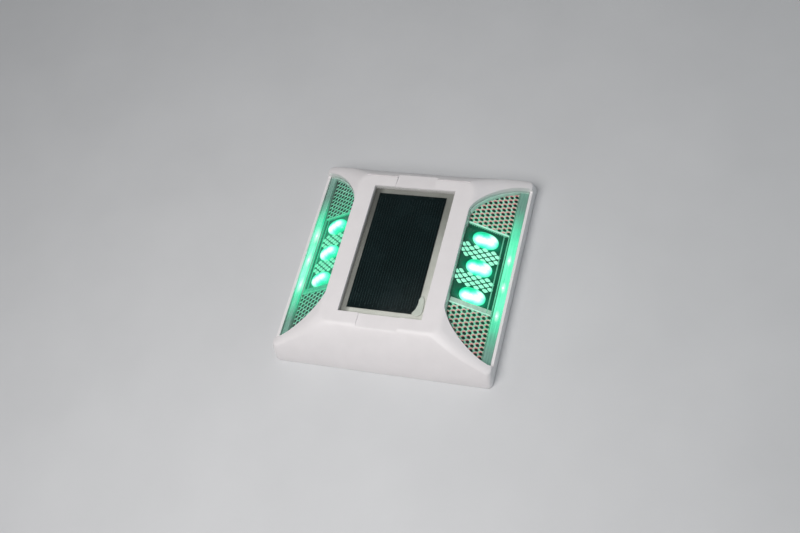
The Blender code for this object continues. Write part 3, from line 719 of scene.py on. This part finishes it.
def film_outline():
    """The honeycomb at the rear of the right lens, anticlockwise."""
    limit = GUIDE_IN - 0.2
    inner = shrink(lens_outline(), GAP + 0.2)
    upper = [point for point in inner if point[0] < limit and point[1] > 0]
    before = inner[inner.index(upper[0]) - 1]
    share = (limit - upper[0][0]) / (before[0] - upper[0][0])
    corner = (limit, upper[0][1] + share * (before[1] - upper[0][1]))
    start = FIELD_Y + GAP
    zone = [point for point in [corner] + upper if point[1] > start]
    return [(zone[0][0], start)] + zone + [(zone[-1][0], start)]


def hexagon(x, y, share, level):
    """One cell's outline; its flat sides face along Y."""
    reach = CELL_COLUMN * 2 / 3 * share
    half = CELL_ROW / 2 * share
    corners = ((reach, 0), (reach / 2, half), (-reach / 2, half),
               (-reach, 0), (-reach / 2, -half), (reach / 2, -half))
    return [(x + a, y + b, level) for a, b in corners]


def make_honeycomb(name, side, end, sign, mats):
    """Hexagonal cells sunk into a film; the rear left flanks of each carry a painted highlight."""
    ridge, pit, highlit_ridge = range(3)
    flanks = []
    for i in range(6):
        turn = math.radians(60 * i + 30)
        # flanks that face the rear left get the painted highlight
        highlit = sign * math.sin(turn) * 0.8 - side * math.cos(turn) * 0.6 > 0.35
        flanks.append(highlit_ridge if highlit else ridge)
    bm = bmesh.new()
    for column in range(-6, 7):
        x = CELL_X + CELL_COLUMN * column
        for row in range(-3, 13):
            y = CELL_Y + CELL_ROW * (row + 0.5 * (column % 2))
            if x - 2 > GUIDE_IN or x + 2 < LENS_IN or y + 2 < FIELD_Y or y - 2 > LENS_END:
                continue
            rows = [hexagon(x, y, 1.0, FILM_TOP)]
            rows += [hexagon(x, y, share, FILM_TOP - depth) for share, depth in CELL_STEPS[side]]
            rings = [[bm.verts.new(point) for point in ring] for ring in rows]
            for step, (high, low) in enumerate(zip(rings, rings[1:])):
                for i in range(6):
                    k = (i + 1) % 6
                    face = bm.faces.new((high[i], low[i], low[k], high[k]))
                    face.material_index = pit if step > 1 else flanks[i]
    bmesh.ops.remove_doubles(bm, verts=bm.verts, dist=0.01)
    close_sheet(bm, film_outline(), FIELD_FLOOR - 1.2)
    lay(bm, side, sign)
    comb = finish(f"honeycomb_{name}_{end}", bm, mats, smooth=0)
    place(comb, replaces=[f"reflector_{name}_{end}"])


def add_slab(bm, x, y, levels, edge=0.12, index=0):
    """A bevelled bar between level planes."""
    part = bmesh.new()
    add_box(part, x, y, levels)
    round_edges(part, part.edges, edge)
    for face in part.faces:
        face.material_index = index
    scrap = bpy.data.meshes.new("scrap")
    part.to_mesh(scrap)
    part.free()
    bm.from_mesh(scrap)
    bpy.data.meshes.remove(scrap)


def field_level(x, y):
    """Ground dished under each emitter and rising at the lens's inner edge."""
    rise = FIELD_RISE * (1.0 - smooth_step(FIELD_X[0], FIELD_X[0] + 3.0, x))
    rise *= 1.0 - smooth_step(LEDGE_Y - 1.0, LEDGE_Y, abs(y))
    depth = -rise
    for cx, cy in LED_SPOTS:
        away = math.hypot((x - cx) / CUP_X, (y - cy) / CUP_Y)
        depth += CUP_DEPTH * (1.0 - smooth_step(0.72, 1.0, away))
    return FIELD_FLOOR - depth


def set_back(x):
    """Where a point goes so that the bands look even from over the lens."""
    spot = x
    for _ in range(6):
        spot = x + LEAN * (field_level(spot, KNURL_MIDDLE) - FIELD_FLOOR)
    return max(spot, FIELD_X[0] + 0.05)


def add_knurl(bm, x, y, index):
    """One rounded diamond, following the rise of the ground."""
    corners = 16
    rings = []
    for share, rise in KNURL_PROFILE:
        ring = []
        for k in range(corners):
            turn = math.tau * k / corners
            spot = set_back(x + signed_power(math.cos(turn), KNURL_POWER) * KNURL_X * share)
            across = signed_power(math.sin(turn), KNURL_POWER) * KNURL_Y * share
            ring.append(bm.verts.new((spot, y + across, field_level(spot, KNURL_MIDDLE) + rise)))
        rings.append(ring)
    for low, high in zip(rings, rings[1:]):
        for k in range(corners):
            n = (k + 1) % corners
            bm.faces.new((low[k], low[n], high[n], high[k])).material_index = index


def add_knurls(bm, index):
    """Two bands of diamonds between the emitters."""
    for band in (-1, 1):
        for column in range(9):
            x = KNURL_START + KNURL_X * column
            for row in (-1, 0, 1) if column % 2 else (-0.5, 0.5):
                y = band * (KNURL_MIDDLE + 2 * KNURL_Y * row)
                if abs(abs(y) - KNURL_MIDDLE) <= KNURL_REACH and x <= FRAME_X[0] - 0.6:
                    add_knurl(bm, x, y, index)


def make_field(name, side, mats):
    """The green tray around three emitters: ground, knurled bands, ledge and frame lines."""
    knurl, frame_line, ledge, bright = range(1, 5)
    bm = bmesh.new()
    x0, x1 = FIELD_X
    add_sheet(bm, even_steps(x0, x1, 56), even_steps(-FIELD_Y, FIELD_Y, 136), field_level)
    close_sheet(bm, rectangle(x0, x1, -FIELD_Y, FIELD_Y), FIELD_FLOOR - 2.4)

    high = FIELD_FLOOR + FRAME_HIGH
    low = FIELD_FLOOR - 0.3
    inner = (x0, x1 - 0.4)
    add_slab(bm, FRAME_X, (-FIELD_Y + 1.0, FIELD_Y - 1.0), (low, high), index=frame_line)
    add_slab(bm, (x1 - 0.35, x1), (-FIELD_Y, FIELD_Y), (low, high + 0.2), index=frame_line)
    add_slab(bm, inner, (FIELD_Y - 0.7, FIELD_Y), (low, high + 0.3), 0.15, bright)
    add_slab(bm, inner, (-FIELD_Y, -FIELD_Y + 0.45), (low, high + 0.3), 0.12, bright)
    add_slab(bm, inner, (-FIELD_Y + 0.6, -LEDGE_Y), (low, high - 0.3), 0.15, ledge)
    pitch = (x1 - x0 - 1.4) / TEETH
    for k in range(TEETH):
        x = x0 + 0.3 + pitch * k
        tooth = (FIELD_Y - 1.3, FIELD_Y - 0.6)
        add_slab(bm, (x, x + 0.55 * pitch), tooth, (low, high - 0.1), 0.1, frame_line)
    add_knurls(bm, knurl)
    lay(bm, side)
    field = finish("led_field_" + name, bm, mats, smooth=40)
    place(field, replaces=["led_bezel_" + name])


def make_lens(name, side, mat):
    bm = bmesh.new()
    add_prism(bm, shrink(lens_outline(), GAP), LENS_BACK, LENS_FACE)
    round_edges(bm, [edge for edge in bm.edges if abs(edge.calc_face_angle(0)) > 1.0], 0.22)
    lay(bm, side)
    place(finish("lens_pane_" + name, bm, [mat], smooth=35), replaces=["lens_" + name])


def make_lens_rim(name, side, mat):
    """The lens's side wall along its swept rear end, beside the honeycomb."""
    outer = [(x, y) for x, y in shrink(lens_outline(), GAP) if y > FIELD_Y and x < LENS_OUT - 0.6]
    inner = shrink(lens_outline(), GAP + RIM_THICK)[:len(outer) + 1]
    low = FILM_TOP + 0.12
    high = LENS_BACK - 0.1
    edge = RIM_ROUND / RIM_THICK
    profile = ((0, low), (0, high - RIM_ROUND), (edge, high),
               (1 - edge, high), (1, high - RIM_ROUND), (1, low))
    bm = bmesh.new()
    add_loft(bm, [[(a + (c - a) * t, b + (d - b) * t, level) for t, level in profile]
                  for (a, b), (c, d) in zip(outer[-len(inner) + 1:], inner[1:])])
    lay(bm, side)
    place(finish("lens_rim_" + name, bm, [mat], smooth=40))


def make_light_guide(name, side, mat):
    """The solid strip along the lens's outer edge, with shallow flutes along it."""
    outline = [(x, y) for x, y in shrink(lens_outline(), GAP + 0.15) if x > GUIDE_IN]
    half = len(outline) // 2
    rear = outline[:half]
    reach = max(y for x, y in rear) + 0.5

    def level(x, y):
        flute = FLUTE_DEPTH * abs(math.sin(math.pi * (x - GUIDE_IN) / FLUTE_PITCH))
        return LENS_BACK - GUIDE_DROP + flute
    bm = bmesh.new()
    add_sheet(bm, even_steps(GUIDE_IN, LENS_OUT, 48), even_steps(-reach, reach, 60), level)
    inside = [(max(x, GUIDE_IN + 0.1), y) for x, y in outline[-half:] + rear]
    clean = [a for a, b in zip(inside, inside[1:] + inside[:1]) if math.dist(a, b) > 0.02]
    close_sheet(bm, clean, FILM_TOP)
    lay(bm, side)
    place(finish("light_guide_" + name, bm, [mat], smooth=30))


def make_emitter(name, side, end, mat):
    """An oval lamp; its own X runs down the slope and its own Z out of the lens."""
    y = middle_of(f"led_right_{end}")[1]
    turn = Matrix.Rotation(math.atan(SLOPE), 4, "Y")
    spot = Matrix.Translation(Vector((side * LED_X, y, LED_LEVEL - SLOPE * LED_X)) * MM)
    if side < 0:
        turn = Matrix.Rotation(math.pi, 4, "Z") @ turn
    bm = bmesh.new()
    bmesh.ops.create_uvsphere(bm, u_segments=56, v_segments=28, radius=1.0,
                              matrix=Matrix.Rotation(math.radians(90), 4, "Y"))
    for vert in bm.verts:
        size = sum(abs(c) ** LED_SQUARE for c in vert.co) ** (1 / LED_SQUARE)
        vert.co = Vector(c * half for c, half in zip(vert.co / size, LED_HALF))
    lamp = finish(f"lamp_{name}_{end}", bm, [mat], matrix=spot @ turn)
    place(lamp, replaces=[f"led_{name}_{end}"])


def make_pips(name, side, mat):
    """Small moulded pips in the strip, glowing with painted reflections of the lamps."""
    bm = bmesh.new()
    for x, y in PIPS[name]:
        centre = Matrix.Translation((x, y, LENS_BACK - 0.35))
        bmesh.ops.create_uvsphere(bm, u_segments=20, v_segments=10, radius=1.0,
                                  matrix=centre @ Matrix.Diagonal((*PIP_SIZE, 1.0)))
    lay(bm, side)
    place(finish("guide_pips_" + name, bm, [mat], smooth=60))


# ---- optic materials

def lamp_paint(side):
    """A lit lamp: a white core that fades to green at its edge."""
    paint = Paint("lamp_epoxy_" + side, 0.12)
    mottle = paint.spread(paint.noise(1.8, 2.0), 0.75, 1.2)
    core = paint.math("MULTIPLY", paint.union(LAMP_LOBES[side]), mottle)
    tone = paint.ramp(core, (0.0, (0.0, 0.50, 0.26)), (0.2, (0.02, 0.78, 0.44)),
                      (0.42, (0.26, 0.97, 0.68)), (0.7, (1.0, 1.0, 1.0)))
    paint.colour(paint.mix(0.5, tone, (0.05, 0.5, 0.3)))
    paint.glow(tone)
    paint.surface(3.0, 0.08, 0.2, 4.0, 0.02)
    return paint.mat


def ground_paint(name, side, dark, lit):
    """Green ground, lit around each lamp."""
    paint = Paint("field_" + name, 0.3)
    near = paint.union([((side * (LED_X + 0.5), y - 0.6, 0.0), (12.0, 8.5, DEEP)) for _, y in LED_SPOTS])
    tone = paint.mix(paint.ramp(near, (0.0, 0.0), (0.35, 0.22), (0.6, 1.0)), dark, lit)
    tone = paint.mix(paint.math("MULTIPLY", paint.noise(4.0), 0.5), tone, dark)
    paint.colour(paint.mix(0.5, tone, dark))
    paint.surface(2.5, 0.25, 0.45, 0.8, 0.02)
    paint.glow(tone, 0.55)
    return paint.mat


def lit_plastic(name, colour, glow_colour, glow, rough=0.25):
    """Pale plastic with a painted glow of the emitters' light, fading towards the lens's ends."""
    paint = Paint(name, rough)
    near = paint.ramp(from_field(paint), (0.25, 1.0), (0.6, 0.5), (1.0, 0.1))
    paint.colour(paint.drift(3.0, tuple(c * 0.75 for c in colour), colour))
    paint.surface(2.0, rough - 0.08, rough + 0.1, 1.0, 0.015)
    paint.glow(paint.mix(near, (0, 0, 0), glow_colour), glow)
    return paint.mat


def guide_paint(name, side, hot, strength, length, reach):
    """Streaked green light, strongest beside the emitters and at the pips."""
    paint = Paint("guide_" + name, 0.15)
    middle = paint.math("ABSOLUTE", paint.math("ADD", paint.axis("Y"), 1.5))
    near = paint.ramp(paint.math("DIVIDE", middle, length, clamp=True),
                      (0.30, 1.0), (0.47, 0.62), (0.62, 0.2), (0.76, 0.0))
    streak = paint.noise(1.0, 4.0, stretch=(0.55, 22.0, 8.0))
    level = paint.math("MULTIPLY", near, paint.spread(streak, 0.5, 1.4))
    level = paint.math("MULTIPLY", level, paint.spread(paint.noise(5.0), 0.55, 1.4))
    tone = paint.ramp(level, (0.0, (0.05, 0.10, 0.085)), (0.25, (0.03, 0.40, 0.22)),
                      (0.6, (0.01, 0.74, 0.38)), (0.95, hot))
    flare = paint.union([((side * x, y, 0.0), (reach * 0.35, reach, DEEP)) for x, y in PIPS[name]])
    flare = paint.math("MULTIPLY", flare, paint.spread(streak, 0.0, 2.4), clamp=True)
    paint.colour(paint.ramp(streak, (0.3, (0.15, 0.26, 0.225)), (0.7, (0.32, 0.43, 0.39))))
    paint.glow(paint.mix(flare, tone, (0.85, 1.0, 0.95)), strength)
    paint.rough(streak, 0.08, 0.25)
    paint.bump((streak, 0.06), (paint.noise(2.0, 2.0), 0.02))
    return paint.mat


def make_optics():
    pane = clear_pane("clear_lens", (0.90, 0.985, 0.95), 0.05, 0.022)
    pips = lit_plastic("guide_pip", (0.7, 1.0, 0.9), (0.75, 1.0, 0.92), 1.6)
    rim = lit_plastic("lens_rim", (0.74, 0.84, 0.80), (0.25, 0.50, 0.40), 0.15)
    for name, side in SIDES:
        plain, highlit = COMBS[name]
        comb = [film("film_" + name, *plain), pit("pit_" + name, *PITS[name]),
                film(f"film_{name}_warm", *highlit)]
        field = [ground_paint(name, side, *GROUNDS[name])]
        field += [lit_plastic(f"{part}_{name}", *look) for part, look in FIELD_PARTS[name].items()]
        lamp = lamp_paint(name)
        make_lens(name, side, pane)
        make_lens_rim(name, side, rim)
        make_light_guide(name, side, guide_paint(name, side, *GUIDES[name]))
        make_pips(name, side, pips)
        make_field(name, side, field)
        for end, sign in ENDS:
            make_honeycomb(name, side, end, sign, comb)
        for end in LEDS:
            make_emitter(name, side, end, lamp)


# ---- solar panel

def make_resin(mat):
    """The poured window, climbing a little where it wets the walls."""
    (x0, x1), (y0, y1), (z0, z1) = cad_box("solar_window")

    def level(x, y):
        edge = min(x - x0, x1 - x, y - y0, y1 - y)
        climb = 0.30 * math.exp(-edge / 0.5) - 0.12
        return z1 + climb + 0.02 * math.sin(0.21 * x + 0.7) * math.cos(0.13 * y)
    xs = [(x0 + x1) / 2 + (x1 - x0) / 2 * signed_power(u, 0.8) for u in even_steps(-1, 1, 72)]
    ys = [(y0 + y1) / 2 + (y1 - y0) / 2 * signed_power(v, 0.9) for v in even_steps(-1, 1, 120)]
    bm = bmesh.new()
    add_sheet(bm, xs, ys, level)
    close_sheet(bm, rectangle(x0, x1, y0, y1), z0)
    place(finish("resin_window", bm, [mat], smooth=50), replaces=["solar_window"])


def make_cell(cell_mat, finger_mat):
    """The dark cell and its printed fingers."""
    (x0, x1), (y0, y1), (z0, z1) = CELL
    bm = bmesh.new()
    add_box(bm, (x0, x1), (y0, y1), (z0, z1))
    round_edges(bm, bm.edges, 0.08)
    count = int((x1 - x0) / FINGER_PITCH)
    start = (x0 + x1) / 2 - FINGER_PITCH * (count - 1) / 2
    for k in range(count):
        x = start + FINGER_PITCH * k
        short = 2.4 + 1.3 * math.sin(2.7 * k)
        add_slab(bm, (x - FINGER_WIDE / 2, x + FINGER_WIDE / 2), (y0 + short, y1 - 2.0 - short / 2),
                 (z1 - 0.02, z1 + FINGER_HIGH), 0.01, 1)
    place(finish("cell_face", bm, [cell_mat, finger_mat], smooth=30),
          replaces=["solar_cell"])


def make_backing(mat):
    bm = bmesh.new()
    add_slab(bm, *cad_box("solar_backing_board"), 0.2)
    place(finish("panel_backing", bm, [mat]), replaces=["solar_backing_board"])


def make_sealant(mat):
    """An uneven dab of sealant over the cell's front right corner."""
    (_, corner_x), (corner_y, _), (z0, z1) = CELL
    inner = [(0.3, 10.4), (-0.5, 8.4), (-0.1, 6.4), (-0.6, 4.6),
             (-0.8, 3.2), (-1.5, 1.8), (-2.3, 0.9), (-2.6, -0.6)]
    outer = [(2.6, -1.4), (3.2, 3.6), (2.8, 8.0), (1.6, 11.0)]
    x, y = 0.6, 3.6
    layers = ((1.0, z0 - 0.25), (1.0, z1 + 0.05), (0.94, z1 + 0.14), (0.75, z1 + 0.2), (0.3, z1 + 0.22))
    bm = bmesh.new()
    add_loft(bm, [[(corner_x + x + (a - x) * share, corner_y + y + (b - y) * share, z)
                   for a, b in inner + outer] for share, z in layers])
    dab = finish("sealant_dab", bm, [mat], smooth=0)
    smoothing = dab.modifiers.new("smooth", "SUBSURF")
    smoothing.levels = smoothing.render_levels = 2
    dab.data.shade_smooth()
    place(dab)


def margin_paint():
    """The pale board, with a painted shadow of the window's left wall, and darker towards the rear."""
    paint = Paint("panel_margin", 0.45)
    across = paint.math("DIVIDE", paint.math("ADD", paint.axis("X"), WINDOW_X / 2), WINDOW_X)
    along = paint.math("DIVIDE", paint.math("ADD", paint.axis("Y"), 38.0), 76.0)
    # painted shadow of the window's left wall, then a darkening towards the rear
    left = paint.ramp(across, (0.0, 0.33), (0.07, 0.42), (0.12, 1.0))
    rear = paint.ramp(along, (0.0, 1.0), (0.4, 0.9), (0.8, 0.5), (1.0, 0.4))
    # the board's own tone, before the painted shadow and the darkening to the rear
    clean = paint.drift(9.0, (0.63, 0.63, 0.585), (0.70, 0.70, 0.655), 0.35)
    paint.colour(paint.mix(1.0, clean, paint.mix(1.0, left, rear, "MULTIPLY"), "MULTIPLY"))
    paint.moulding(0.45, 0.02)
    return paint.mat


def silicon_paint():
    paint = Paint("silicon", 0.25)
    paint.shader.inputs["Specular IOR Level"].default_value = 0.12
    cloud = paint.noise(16.0, 4.0)
    streak = paint.noise(1.0, 3.0, stretch=(1.2, 40.0, 8.0))
    tone = paint.ramp(cloud, (0.3, (0.001, 0.004, 0.0045)), (0.7, (0.003, 0.010, 0.011)))
    paint.colour(paint.mix(paint.spread(streak, 0.0, 0.5), tone, (0.005, 0.015, 0.016)))
    paint.rough(cloud, 0.18, 0.35)
    paint.bump((streak, 0.006))
    return paint.mat


def finger_paint():
    paint = Paint("finger", 0.4, 0.3)
    paint.colour(paint.drift(6.0, (0.010, 0.030, 0.032), (0.028, 0.062, 0.064)))
    paint.rough(paint.noise(1.0), 0.3, 0.5)
    return paint.mat


def make_panel():
    make_backing(margin_paint())
    make_cell(silicon_paint(), finger_paint())
    make_sealant(moulded("sealant", (0.66, 0.70, 0.64), 0.35, 0.88))
    make_resin(clear_pane("clear_resin", (0.955, 0.965, 0.955), 0.06, 0.012))


# ---- base and inner pieces

def dress(names, mat, width=0.0):
    """Give CAD pieces their finish and small rounded edges."""
    for name in names:
        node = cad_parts[name]
        node.data.materials.clear()
        node.data.materials.append(mat)
        weld = node.modifiers.new("weld", "WELD")
        weld.merge_threshold = 0.01 * MM
        if width:
            soften(node, width)


def brushed(name, colour, roughness):
    paint = Paint(name, roughness, 1.0)
    lines = paint.noise(0.3, 2.0, stretch=(12.0, 1.0, 1.0))
    paint.colour(paint.drift(2.0, tuple(c * 0.85 for c in colour), colour))
    paint.rough(lines, roughness - 0.08, roughness + 0.1)
    paint.bump((lines, 0.004))
    return paint.mat


def board_paint():
    """Green solder mask over raised copper tracks."""
    paint = Paint("circuit_board", 0.35)
    inputs = {"Vector": paint.mapped(scale=(3.0, 3.0, 3.0)), "Scale": 1.0, "Mortar Size": 0.06,
              "Color1": (0.0, 0.0, 0.0), "Color2": (0.15, 0.15, 0.15), "Mortar": (1.0, 1.0, 1.0)}
    tracks = paint.node("TexBrick", inputs, offset=0.5, squash=1.0).outputs["Color"]
    paint.colour(paint.mix(tracks, (0.008, 0.11, 0.045), (0.03, 0.24, 0.10)))
    paint.rough(paint.noise(2.0), 0.28, 0.45)
    paint.bump((tracks, 0.035), (paint.noise(1.0, 2.0), 0.01))
    return paint.mat


def make_base_screw(name, x, y, mat):
    """A pan head screw with a cross recess and a threaded shank."""
    root = SCREW_R - THREAD_DEPTH
    profile = [(0.0, 0.4), (1.9, 0.42), (2.45, 0.52), (2.72, 0.72), (SCREW_HEAD_R, 1.0), (SCREW_HEAD_R, 1.5),
               (2.7, 1.6), (SCREW_R, 1.62)]
    for turn in range(13):
        low = 1.9 + THREAD_PITCH * turn
        profile += [(root, low), (SCREW_R, low + THREAD_RISE)]
    profile += [(root, 9.3), (0.4, 10.3), (0.0, 10.4)]
    bm = bmesh.new()
    add_turned(bm, profile, 40)
    screw = finish("screw_" + name, bm, [mat], smooth=40, matrix=Matrix.Translation((x * MM, y * MM, 0)))
    for along, across in ((1.5, 0.35), (0.35, 1.5)):
        cut(screw, box("recess", (x - along, x + along), (y - across, y + across), (0.0, 1.25)))
    soften(screw, 0.06, 50.0)
    place(screw, replaces=["base_screw_" + name])


def make_button(mat):
    """The rubber button, with a raised ring and a domed middle on its face."""
    (x0, x1), _, (z0, z1) = cad_box("power_button")
    flange = (x1 - x0) / 2
    radius = flange - 1.2
    face = ((0.0, 0.12), (0.8, 0.15), (1.3, 0.25), (1.6, 0.32), (2.1, 0.3), (2.3, 0.12), (2.5, 0.02),
            (2.8, 0.0), (3.1, 0.03), (3.45, 0.08), (3.75, 0.22), (3.93, 0.45), (radius, 0.8))
    collar = [(radius, 2.9), (radius + 0.15, 3.3), (flange - 0.12, 3.3), (flange, 3.42), (flange, 3.88),
              (flange - 0.12, 4.0)]
    stem = [(1.7, 4.0), (1.5, 4.2), (1.5, z1 - 0.15), (1.35, z1), (0.0, z1)]
    bm = bmesh.new()
    add_turned(bm, [(r, z0 + rise) for r, rise in face] + collar + stem, 64)
    x, y, _ = middle_of("power_button")
    spot = Matrix.Translation((x * MM, y * MM, 0))
    cap = finish("button_cap", bm, [mat], smooth=50, matrix=spot)
    place(cap, "button", ["power_button"])


def make_base():
    for name, (colour, roughness, shade, grain, rounding, nodes) in MOULDED.items():
        dress(nodes, moulded(name, colour, roughness, shade, grain), rounding)
    steel = brushed("steel", (0.58, 0.58, 0.57), 0.34)
    dress(["board_screw_front", "board_screw_rear"], steel, 0.08)
    dress(["battery_tab_front", "battery_tab_rear"], brushed("nickel", (0.68, 0.66, 0.60), 0.3), 0.06)
    dress(["capacitor"], brushed("capacitor_can", (0.60, 0.60, 0.62), 0.4), 0.1)
    dress(["led_board_left", "led_board_right", "main_board"], board_paint(), 0.06)
    for name, (x, y) in SCREWS.items():
        make_base_screw(name, x, y, steel)
    make_button(moulded("button_rubber", (0.085, 0.085, 0.092), 0.6, 0.85, 0.03))


# ---- camera, light and floor

def make_camera():
    camera = bpy.data.cameras.new("camera")
    camera.lens = 49.18
    camera.sensor_width = 36.0
    camera.clip_start = 0.01
    right = Vector((0.94018932, 0.24251837, -0.23922559))
    up = Vector((-0.09833398, 0.86557746, 0.49102556))
    turn = Matrix((right, up, right.cross(up))).transposed().to_4x4()
    spot = Matrix.Translation((0.18593, -0.25415, 0.49186))
    bpy.context.scene.camera = new_object("camera", camera, spot @ turn)


def hang(name, light, spot, target=(0, 0, 0)):
    """Put a light at a spot, facing the target."""
    turn = (Vector(target) - Vector(spot)).to_track_quat("-Z", "Y").to_matrix().to_4x4()
    new_object(name, light, Matrix.Translation(spot) @ turn)


def make_panel_light(name, spot, target, size, power, colour=(1, 1, 1)):
    light = bpy.data.lights.new(name, "AREA")
    light.shape = "RECTANGLE"
    light.size, light.size_y = size
    light.energy = power
    light.color = colour
    hang(name, light, spot, target)


def make_world():
    """A grey sky, paler near the horizon."""
    world = bpy.data.worlds.new("studio")
    bpy.context.scene.world = world
    world.use_nodes = True
    tree = world.node_tree
    split = tree.nodes.new("ShaderNodeSeparateXYZ")
    tree.links.new(tree.nodes.new("ShaderNodeTexCoord").outputs["Generated"], split.inputs[0])
    sky = tree.nodes.new("ShaderNodeValToRGB")
    stops = ((0.18, (0.23, 0.24, 0.25, 1.0)), (0.40, (0.12, 0.127, 0.135, 1.0)))
    for mark, (height, colour) in zip(sky.color_ramp.elements, stops):
        mark.position = height
        mark.color = colour
    tree.links.new(split.outputs["Z"], sky.inputs[0])
    tree.links.new(sky.outputs[0], tree.nodes["Background"].inputs["Color"])


def make_studio():
    make_world()
    make_panel_light("key", (-0.04, -0.20, 0.42), (0, -0.03, 0), (0.3, 0.3), 1.28, WARM)
    make_panel_light("top", (0.10, 0.0, 0.9), (0, 0, 0), (0.5, 0.5), 0.5)
    make_panel_light("side", (0.9, 0.05, 0.14), (0, 0, 0), (0.5, 0.2), 0.62, (0.66, 0.92, 1.0))
    sun = bpy.data.lights.new("wide_key", "SUN")
    sun.energy = 0.62
    sun.angle = math.radians(40)
    sun.color = WARM
    hang("wide_key", sun, (-0.06, -0.24, 0.68))

    bm = bmesh.new()
    bmesh.ops.create_grid(bm, x_segments=2, y_segments=2, size=3000.0)
    paint = Paint("floor", 0.6)
    paint.colour(paint.drift(60.0, (0.60, 0.61, 0.62), (0.63, 0.64, 0.65)))
    paint.bump((paint.noise(2.0), 0.05))
    floor = finish("floor", bm, [paint.mat])
    bpy.context.scene.view_settings.view_transform = "Standard"


make_camera()
make_studio()
make_cover(moulded("white_shell", (0.80, 0.775, 0.78), 0.42, 0.97, 0.006))
make_optics()
make_panel()
make_base()
